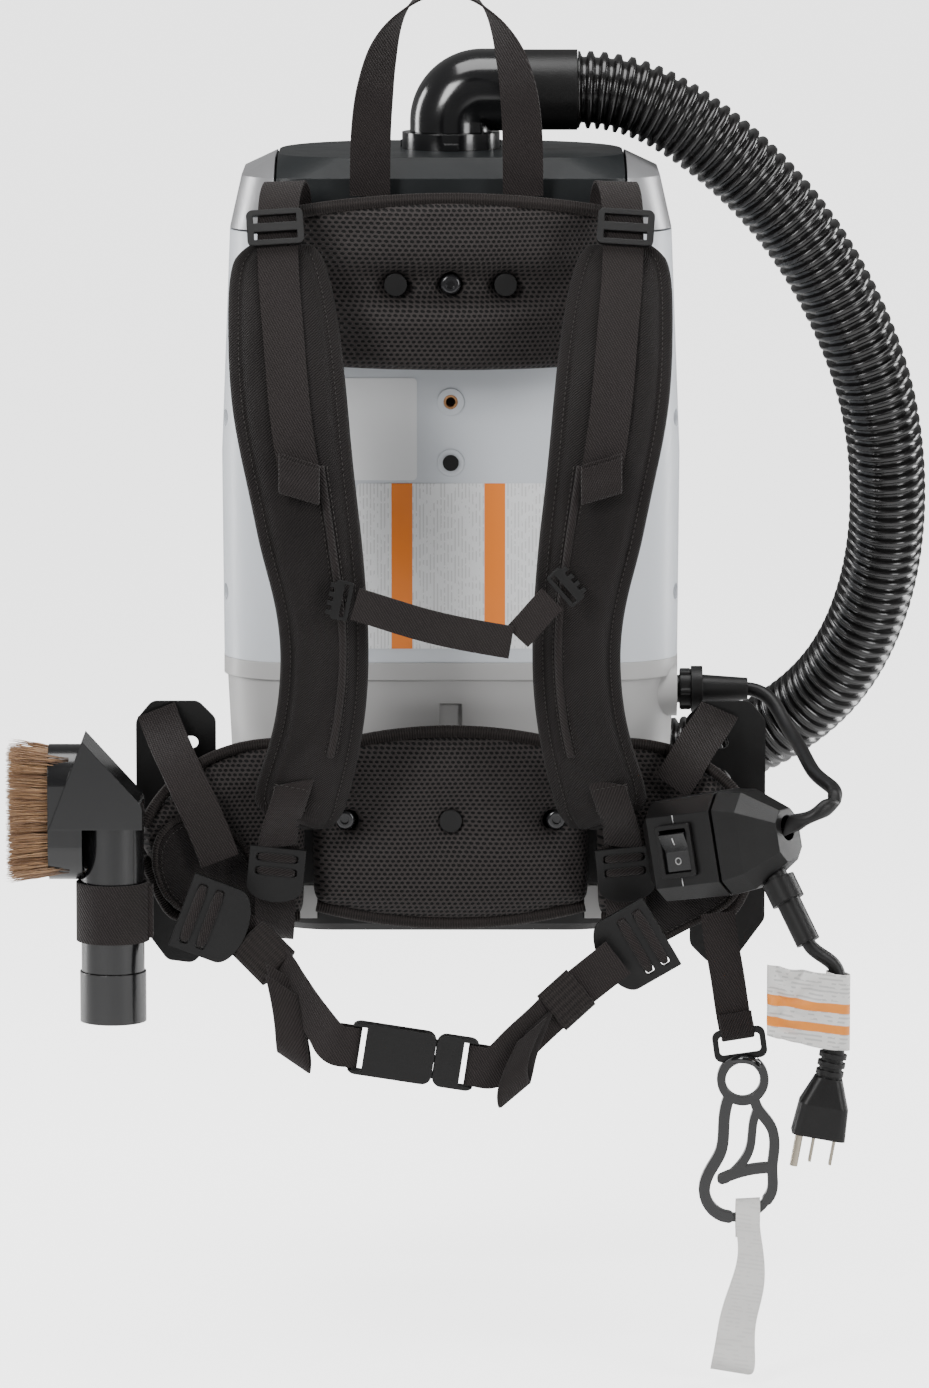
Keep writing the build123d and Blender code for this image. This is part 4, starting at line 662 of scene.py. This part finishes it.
def shape_upper(p):
    p.z = arched(p.x, p.z)
    if p.y < upper_high.y - 10 * MM:
        push = sum(dimple(p, x, z, 5 * MM, 10 * MM) for x, z in UPPER_TUFTS)
        window = max(0.0, 1 - (p.x / (80 * MM)) ** 4)
        push += 9 * MM * window * math.exp(-((p.z - 411 * MM) / (11 * MM)) ** 4)
        for lobe in (432 * MM, 388 * MM):
            push -= 3.5 * MM * window * math.exp(-((p.z - lobe) / (11 * MM)) ** 2)
        push += 1.6 * MM * noise.noise(Vector((p.x * 30, 0, p.z * 55)))
        p.y += push
    return p


def shape_lumbar(p):
    if p.y < lumbar_high.y - 10 * MM:
        push = sum(dimple(p, x, z, 5 * MM, 14 * MM) for x, z in LUMBAR_TUFTS)
        push += 1.5 * MM * noise.noise(Vector((p.x * 24, 1, p.z * 40)))
        p.y += push
    return p


def shape_wing(p):
    p.y += 1.6 * MM * noise.noise(Vector((p.x * 30, 2, p.z * 34)))
    return p


mesh_and_cloth = (look["mesh_fabric"],)
upper_puff = start_puff("upper_pad", "upper_pad_stuffed", mesh_and_cloth, 0.97,
                        lambda p: p.y > upper_high.y - 5 * MM or near(p, UPPER_TUFTS, 13 * MM))
lumbar_puff = start_puff("lumbar_pad", "lumbar_pad_stuffed", mesh_and_cloth, 0.97,
                         lambda p: p.y > lumbar_high.y - 5 * MM or near(p, LUMBAR_TUFTS, 13 * MM))
wing_puffs = {}
for side in ("left", "right"):
    wing = "belt_wing_" + side
    wing_puffs[side] = start_puff(wing, wing + "_stuffed", mesh_and_cloth, 0.985, lambda p: False)
for number in range(1, 19):
    bpy.context.scene.frame_set(number)
finish_puff(upper_puff, "upper_pad", "pack", 14 * MM, shape_upper)
finish_puff(lumbar_puff, "lumbar_pad", "pack", 11 * MM, shape_lumbar)
for side, made in wing_puffs.items():
    finish_puff(made, "belt_wing_" + side, "pack", 3 * MM, shape_wing)
bpy.context.scene.frame_set(1)


def bound_edge(name, node, low, high, top, width, lift=2.5 * MM, count=70, bend=None):
    """Ribbed binding tape rolled over the upper or lower edge of a pad."""
    line = []
    for cut in cad_slices(node, 0, low, high, count):
        z = cut[:, 2].max() if top else cut[:, 2].min()
        rim = cut[np.abs(cut[:, 2] - z) < 6 * MM]
        y = (rim[:, 1].min() * 2 + rim[:, 1].max()) / 3
        line.append((cut[0, 0], y, z))
    line = evened(np.array(line), 4)
    line[:, 1] -= lift
    if bend:
        line[:, 2] = [bend(x, z) for x, _, z in line]
    mesh = swept_tube(name, line, [width] * count, 14, (0, 0, 1), 0.85)
    return add_object(name, mesh, "pack", "mesh_fabric", binding), line


bound_edge("upper_pad_top_binding", "upper_pad", upper_low.x + 6 * MM, upper_high.x - 6 * MM, True, 4.2 * MM,
           bend=arched)
bound_edge("lumbar_top_binding", "lumbar_pad", lumbar_low.x + 2 * MM, lumbar_high.x - 2 * MM, True, 4.4 * MM)
bound_edge("lumbar_low_binding", "lumbar_pad", lumbar_low.x + 2 * MM, lumbar_high.x - 2 * MM, False, 4.4 * MM)
for side in ("left", "right"):
    wing_low, wing_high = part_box("belt_wing_" + side)
    for top in (True, False):
        bound_edge("wing_" + side + ("_top" if top else "_low") + "_binding", "belt_wing_" + side,
                   wing_low.x + 2 * MM, wing_high.x - 2 * MM, top, 3.6 * MM, 1 * MM)


# ---------------------------------------------------------------- brush bristles
brush_low, brush_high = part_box("brush_bristles")
verts, faces, tones = [], [], []
for number in range(5200):
    y = random.uniform(brush_low.y + 2 * MM, brush_high.y - 2 * MM)
    z = random.uniform(brush_low.z + 3 * MM, brush_high.z - 3 * MM)
    away_y = (y - (brush_low.y + brush_high.y) / 2) / (brush_high.y - brush_low.y)
    away_z = (z - (brush_low.z + brush_high.z) / 2) / (brush_high.z - brush_low.z)
    root = Vector((brush_high.x - 1 * MM, y, z))
    reach = (brush_high.x - brush_low.x) * random.uniform(0.86, 1.03)
    tip = Vector((-reach, away_y * 9 * MM + random.gauss(0, 1.3) * MM,
                  away_z * 9 * MM + random.gauss(0, 1.3) * MM))
    sag = Vector((0, random.gauss(0, 0.8) * MM, random.gauss(0, 0.8) * MM))
    base = len(verts)
    tone = random.random()
    for k, thick in ((0, 0.33), (0.55, 0.27), (1, 0.1)):
        centre = root + tip * k + sag * math.sin(math.pi * k)
        for q in range(3):
            angle = 2.1 * q + number
            verts.append(centre + Vector((0, math.cos(angle), math.sin(angle))) * thick * MM)
    for k in (0, 3):
        for q in range(3):
            w = (q + 1) % 3
            faces.append((base + k + q, base + k + w, base + k + 3 + w, base + k + 3 + q))
            tones += [tone, k / 6, tone, k / 6, tone, k / 6 + 0.5, tone, k / 6 + 0.5]
mesh = bpy.data.meshes.new("bristles")
mesh.from_pydata([tuple(v) for v in verts], [], faces)
mesh.uv_layers.new(name="UVMap").data.foreach_set("uv", tones)
bristles = add_object("bristle_strands", mesh, "brush", "bristle")
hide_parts("brush_bristles")

# ---------------------------------------------------------------- wing end covers
def front_at(node, count=60):
    """Front surface of a wing as a function of x."""
    low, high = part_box(node)
    cuts = cad_slices(node, 0, low.x + 1 * MM, high.x - 1 * MM, count)
    xs = np.array([cut[0, 0] for cut in cuts])
    ys = evened(np.array([[cut[:, 1].min()] for cut in cuts]), 3)[:, 0]
    return lambda x: float(np.interp(x, xs, ys))


def wing_cover(side, sign):
    """Leaf-shaped twill cover sewn over the outer end of a belt wing, with a piped edge."""
    node = "belt_wing_" + side
    front = front_at(node)
    leaf = [(183, 52), (181, 70), (166, 82), (146, 78), (128, 60), (117, 34), (113, 10),
            (122, 2), (140, 8), (160, 20), (176, 34), (183, 52)]
    rim = smooth_line([(x * sign, 0, z) for x, z in leaf], 121)[:-1] * MM
    centre = rim.mean(0)
    rows = []
    for step in range(15):
        r = 1 - step / 14 * 0.985
        row = []
        for p in rim:
            q = centre + (p - centre) * r
            dome = (1 - r ** 3) * 6.0 * MM
            fold = noise.noise(Vector((q[0] * 34, 3, q[2] * 40))) * 1.6 * MM * (1 - r)
            row.append((q[0], front(q[0]) - 2.6 * MM - dome + fold, q[2]))
        rows.append(row)
    back = [[(x, y + 4.5 * MM, z) for x, y, z in rows[0]]]
    rows = back + rows
    points = np.array(rows)
    mesh = grid_mesh(node + "_cover", points, caps=True)
    layer = mesh.uv_layers.new(name="UVMap")
    co = [mesh.vertices[l.vertex_index].co for l in mesh.loops]
    layer.data.foreach_set("uv", [c for v in co for c in (v.x, v.z)])
    add_object(node + "_cover", mesh, "pack", "strap_fabric")
    edge = np.array(rows[1])
    edge = np.concatenate([edge, edge[:1]])
    add_object(node + "_piping", swept_tube(node + "_piping", edge, [1.9 * MM] * len(edge), 10),
               "pack", "strap_fabric", binding)
    inner = np.array([centre + (p - centre) * 0.88 for p in edge])
    inner[:, 1] = [front(x) - 2.6 * MM - (1 - 0.88 ** 3) * 6.2 * MM for x in inner[:, 0]]
    stitching(node + "_cover_seam", [(inner, (0, -1, 0))], "pack", "strap_fabric")


wing_cover("left", -1)
wing_cover("right", 1)


# ---------------------------------------------------------------- belt keepers and folded tails
def ribbon(name, points, across, width, thick, body, slot, material, count=60, wave=0.0):
    """Webbing strip along a line, with rounded edges and a little waviness."""
    line = smooth_line(points, count) * MM
    tangent = unit(np.gradient(line, axis=0))
    side = np.repeat(unit(np.asarray(across, float))[None, :], count, 0)
    normal = unit(np.cross(tangent, side))
    run = np.concatenate([[0], np.cumsum(np.linalg.norm(np.diff(line, axis=0), axis=1))])
    half, deep = width / 2 * MM, thick / 2 * MM
    top = [(t * (half - deep), deep) for t in np.linspace(-1, 1, 9)]
    profile = top + [(half, 0)] + [(t, -d) for t, d in top[::-1]] + [(-half, 0)]
    rows = []
    for i in range(count):
        ripple = wave * MM * math.sin(run[i] * 90) * math.sin(run[i] * 31 + 1)
        rows.append([line[i] + side[i] * a + normal[i] * (b + ripple * (a / half)) for a, b in profile])
    girth = [a + half for a, _ in profile[:10]] + [3 * half - a for a, _ in profile[10:]]
    return add_object(name, grid_mesh(name, rows, (girth, run)), body, slot, material)


def keeper(name, first, second, across, width, deep, body):
    """Elastic band round a belt, drawn as a flat closed sleeve."""
    line = smooth_line([first, second], 14) * MM
    mesh = swept_tube(name, line, [width / 2 * MM] * 14, 28, across, deep / width)
    return add_object(name, mesh, body, "webbing", binding)


keeper("belt_keeper_left", (-125, -187.5, 10.5), (-106, -202, -6), (0.42, 0.25, 0.87), 29, 9, "pack")
keeper("belt_keeper_right", (80, -230.5, -12.5), (62, -236, -28), (-0.5, -0.1, 0.85), 29, 9, "buckle_male")
ribbon("belt_tail_left", [(-104, -208, -8), (-100, -214, -26), (-97, -218, -46), (-96, -220.5, -56),
                          (-96.5, -224, -60.5), (-97, -228, -56), (-98, -227, -44), (-104, -216, -14)],
       (0.80, -0.2, -0.50), 25, 1.5, "pack", "webbing", tape, 90, 0.4)
ribbon("belt_tail_right", [(56, -240, -30), (49, -243, -46), (43, -244, -64), (41, -245.5, -73),
                           (39.5, -248, -76.5), (38, -251, -72), (40, -251, -58), (50, -248, -36)],
       (0.72, 0.2, 0.60), 25, 1.5, "buckle_male", "webbing", tape, 90, 0.4)

# webbing that leaves the foot of each shoulder strap, and the turns round the lock bars
for name, sign in (("left", 1), ("right", -1)):
    ribbon("strap_foot_" + name, [(-96 * sign, -187.5, 108), (-99 * sign, -186, 98), (-103 * sign, -181, 86),
                                  (-106 * sign, -173.5, 75), (-107.5 * sign, -168, 64)],
           (0.97 * sign, 0, 0.2), 25, 1.6, "pack", "webbing", tape, 60)
    box_line = []
    for a, z in ((-10, 107), (10, 103), (8, 87), (-12, 91), (-10, 107)):
        box_line.append(((-98.5 * sign + a * sign), -189.2 + (107 - z) * 0.42, z))
    stitching("strap_foot_stitches_" + name, [(smooth_line(box_line[k:k + 2], 20) * MM, (0, -1, 0))
                                              for k in range(4)], "pack", "webbing")


def bar_turn(name, centre, direction, length, radius, body):
    """Webbing rolled over a lock bar: a plump satin roll along the bar."""
    d = unit(np.array(direction, float))
    c = np.array(centre, float)
    line = smooth_line([c + d * length * share for share in (-1 / 2, -1 / 6, 1 / 6, 1 / 2)], 24) * MM
    swell = np.sqrt(np.clip(1 - np.linspace(-1, 1, 24) ** 8, 0.3, 1))
    mesh = swept_tube(name, line, swell * radius * MM, 20, (0, 1, 0), 0.9)
    return add_object(name, mesh, body, "webbing", tape)


lock_data = (("shoulder_left", (-108, -168, 52), (-0.1, 0, -1), 25, 24, "pack"),
             ("shoulder_right", (108, -168, 52), (0.1, 0, -1), 25, 24, "pack"),
             ("belt_left", (-152, -190, 24), (0.93, 0, -0.35), 38, 30, "pack"),
             ("belt_right", (117, -213, 12), (-0.86, 0, -0.5), 38, 30, "pack"))
for name, centre, run_dir, bar_width, depth, body in lock_data:
    run_dir = unit(np.array(run_dir, float))
    bar_dir = np.cross(np.array((0, -1, 0)), run_dir)
    for number, share in enumerate((-0.24, 0.12)):
        at = np.array(centre, float) + run_dir * depth * share + np.array((0, -2.2, 0))
        roll = 3.0 if depth < 30 else 3.7
        bar_turn("bar_turn_%s_%d" % (name, number), at, bar_dir, bar_width - 1.5, roll, body)

# folded ends sewn to the front of both shoulder straps
for name, first, second in (("left", (-103.5, 303), (-80, 296)), ("right", (80, 296), (103.5, 303))):
    node = "shoulder_strap_" + name
    cut = cad_slices(node, 2, 0.298, 0.299, 2)[0]
    y = cut[:, 1].min() * 1000 - 5.0
    middle = ((first[0] + second[0]) / 2, (first[1] + second[1]) / 2)
    across = (second[0] - first[0], 0, second[1] - first[1])
    x, z = middle
    fold = [(2, 14), (0, 4), (-2.2, -6), (-4.2, -9), (-5.4, -6), (-4.0, 3), (-2.6, 12)]
    ribbon("strap_end_fold_" + name, [(x, y + out, z + up) for out, up in fold],
           across, 26, 1.5, "pack", "webbing", tape, 50)

# end of the hook strap, turned round the top bar of its ring
ribbon("hook_strap_fold", [(175.5, -206.6, -33), (176.2, -207.7, -40), (177, -208.4, -45),
                           (177.6, -205.1, -49.4), (177.6, -201.8, -45), (176.6, -202.4, -40),
                           (175.6, -204, -34)],
       (1, 0, 0.16), 20.5, 1.4, "cord_hook", "webbing", tape, 50)


def eye_bridge():
    """Top of the hook's eye, passing in front of the ring's lower bar."""
    eye_x, eye_y, eye_z, radius = 180.5, -205.0, -75.0, 13.3
    turns = np.radians(np.linspace(120, 36, 30))
    shares = np.linspace(0, 1, 30)
    line = [(eye_x + radius * math.cos(turn), eye_y - 4.9 * math.sin(math.pi * share) ** 0.7,
             eye_z + radius * math.sin(turn)) for turn, share in zip(turns, shares)]
    mesh = swept_tube("hook_eye_bridge", np.array(line) * MM, [2.6 * MM] * 30, 16)
    add_object("hook_eye_bridge", mesh, "cord_hook", "black_gloss")


eye_bridge()


# ---------------------------------------------------------------- cord tag
def creased_tag():
    """Tag wrapped round the cord, its free end creased and lifted."""
    cord_x, cord_y, wrap = 237.6, -234.8, 7.5
    free = 44.0
    rows = []
    for down in np.linspace(-1, 1, 27):
        row = []
        for run in np.linspace(0, free + wrap * 5.9, 71):
            slack = max(0.0, 1 - run / free)
            if run < free:
                x, y = cord_x - free + run, cord_y - wrap
            else:
                turn = (run - free) / wrap
                x, y = cord_x + wrap * math.sin(turn), cord_y - wrap * math.cos(turn)
            z = -23 + 23.5 * down - 0.15 * (x - 215)
            crease = abs(noise.noise(Vector((x * 0.06, 7, z * 0.07)))) * 15 * slack ** 0.5
            curl = 9.0 * slack ** 2 * max(0.0, -down) ** 2
            row.append((x * MM, (y - crease - curl) * MM, (z + curl * 0.5) * MM))
        rows.append(row)
    mesh = grid_mesh("cord_tag_creased", rows, close_u=False)
    made = add_object("cord_tag_creased", mesh, "pack", "tag_film")
    sheet = made.modifiers.new("sheet", "SOLIDIFY")
    sheet.thickness = 0.4 * MM
    applied(made)
    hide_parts("cord_tag")


creased_tag()

# ---------------------------------------------------------------- switch marks
BOX_CENTRE = Vector((165, -196, 71)) * MM
BOX_ALONG = Vector((0.8137, -0.549, 0.1908)).normalized()
BOX_OUT = Vector((-0.559, -0.829, 0)).normalized()
BOX_UP = BOX_OUT.cross(BOX_ALONG).normalized()
ROCKER_ALONG = -17 * MM


def on_box(node, along, up):
    """Point and normal where a line towards the switch box meets a CAD node."""
    start = BOX_CENTRE + BOX_ALONG * along + BOX_UP * up + BOX_OUT * 60 * MM
    hit, place, normal, _ = nodes[node].ray_cast(start, -BOX_OUT)
    return (place, normal) if hit else (None, None)


def mark(name, node, body, shape, along, up):
    """Small raised mark laid on a CAD face; shape is a list of closed outlines in millimetres."""
    verts, faces = [], []
    for outline in shape:
        base = len(verts)
        for a, b in outline:
            place, normal = on_box(node, along + a * MM, up + b * MM)
            if place is None:
                return
            verts.append(place + normal * 0.25 * MM)
        faces.append(tuple(range(base, base + len(outline))))
    mesh = bpy.data.meshes.new(name)
    mesh.from_pydata([tuple(v) for v in verts], [], faces)
    made = add_object(name, mesh, body, "label_film", mark_white)
    solid = made.modifiers.new("thick", "SOLIDIFY")
    solid.thickness = 0.2 * MM


def bar(width, height):
    w, h = width / 2, height / 2
    return [(-w, -h), (w, -h), (w, h), (-w, h)]


def ring_parts(outer, inner, steps=20):
    parts = []
    for k in range(steps):
        a, b = 2 * math.pi * k / steps, 2 * math.pi * (k + 1) / steps
        parts.append([(outer * math.cos(a), outer * math.sin(a)), (outer * math.cos(b), outer * math.sin(b)),
                      (inner * math.cos(b), inner * math.sin(b)), (inner * math.cos(a), inner * math.sin(a))])
    return parts


mark("mark_on", "rocker", "rocker", [bar(0.8, 4.6)], ROCKER_ALONG, 6.0 * MM)
mark("mark_off", "rocker", "rocker", ring_parts(2.3, 1.6), ROCKER_ALONG, -6.5 * MM)
mark("line_above", "switch_box_front", "pack", [bar(0.6, 5.0)], ROCKER_ALONG, 19.5 * MM)
mark("line_below", "switch_box_front", "pack", [bar(0.6, 5.0)], ROCKER_ALONG, -19.5 * MM)

# ---------------------------------------------------------------- stage, light and camera
floor_z = cad_box[0].z - 4 * MM


FLOOR_GLOW = 2.6


def floor():
    """Large pale floor; the camera sees it almost as bright as the studio behind it."""
    reach = 30.0
    rows = [[(x, y, floor_z) for x in (-reach, reach)] for y in (-reach, reach)]
    mesh = grid_mesh("floor", rows, close_u=False)
    made = bpy.data.objects.new("floor", mesh)
    bpy.context.scene.collection.objects.link(made)
    paper = Graph("floor_paper", (0.9, 0.9, 0.9), 0.9)
    seen = paper.node("ShaderNodeLightPath").outputs["Is Camera Ray"]
    paper.set("Emission Color", (1, 1, 1, 1))
    paper.feed(paper.out.inputs["Emission Strength"], paper.math("MULTIPLY", seen, FLOOR_GLOW))
    mesh.materials.append(paper.mat)


floor()


def area_light(name, place, target, size, power):
    lamp = bpy.data.lights.new(name, "AREA")
    lamp.shape = "RECTANGLE"
    lamp.size, lamp.size_y = size
    lamp.energy = power
    made = bpy.data.objects.new(name, lamp)
    made.location = place
    made.rotation_euler = (Vector(target) - Vector(place)).to_track_quat("-Z", "Y").to_euler()
    bpy.context.scene.collection.objects.link(made)


area_light("key", (-1.6, -2.4, 1.8), (0, 0, 0.2), (0.9, 1.4), 62)
area_light("fill", (1.9, -1.9, 0.9), (0, 0, 0.2), (0.7, 1.5), 30)
area_light("top", (0, -0.3, 2.3), (0, 0, 0.1), (1.8, 1.2), 40)
area_light("rim_left", (-1.9, 0.7, 0.6), (0, 0, 0.2), (0.5, 1.6), 30)
area_light("rim_right", (1.9, 0.7, 0.6), (0, 0, 0.2), (0.5, 1.6), 30)
world = bpy.data.worlds.new("studio")
world.use_nodes = True
tree = world.node_tree
background = tree.nodes["Background"]
background.inputs[0].default_value = (1, 1, 1, 1)
path = tree.nodes.new("ShaderNodeLightPath")
shade = tree.nodes.new("ShaderNodeMapRange")
shade.inputs["To Min"].default_value = 0.22
shade.inputs["To Max"].default_value = FLOOR_GLOW + 0.3
tree.links.new(path.outputs["Is Camera Ray"], shade.inputs["Value"])
tree.links.new(shade.outputs[0], background.inputs[1])
bpy.context.scene.world = world

lens = bpy.data.cameras.new("camera")
lens.lens = 202.6
lens.sensor_width = 36
lens.clip_end = 60
camera = bpy.data.objects.new("camera", lens)
bpy.context.scene.collection.objects.link(camera)
target = Vector((0.0086, 0, 0.1365))
elevation = math.radians(8)
camera.location = target + Vector((0, -math.cos(elevation), math.sin(elevation))) * 5.0
camera.rotation_euler = (target - camera.location).to_track_quat("-Z", "Y").to_euler()
bpy.context.scene.camera = camera
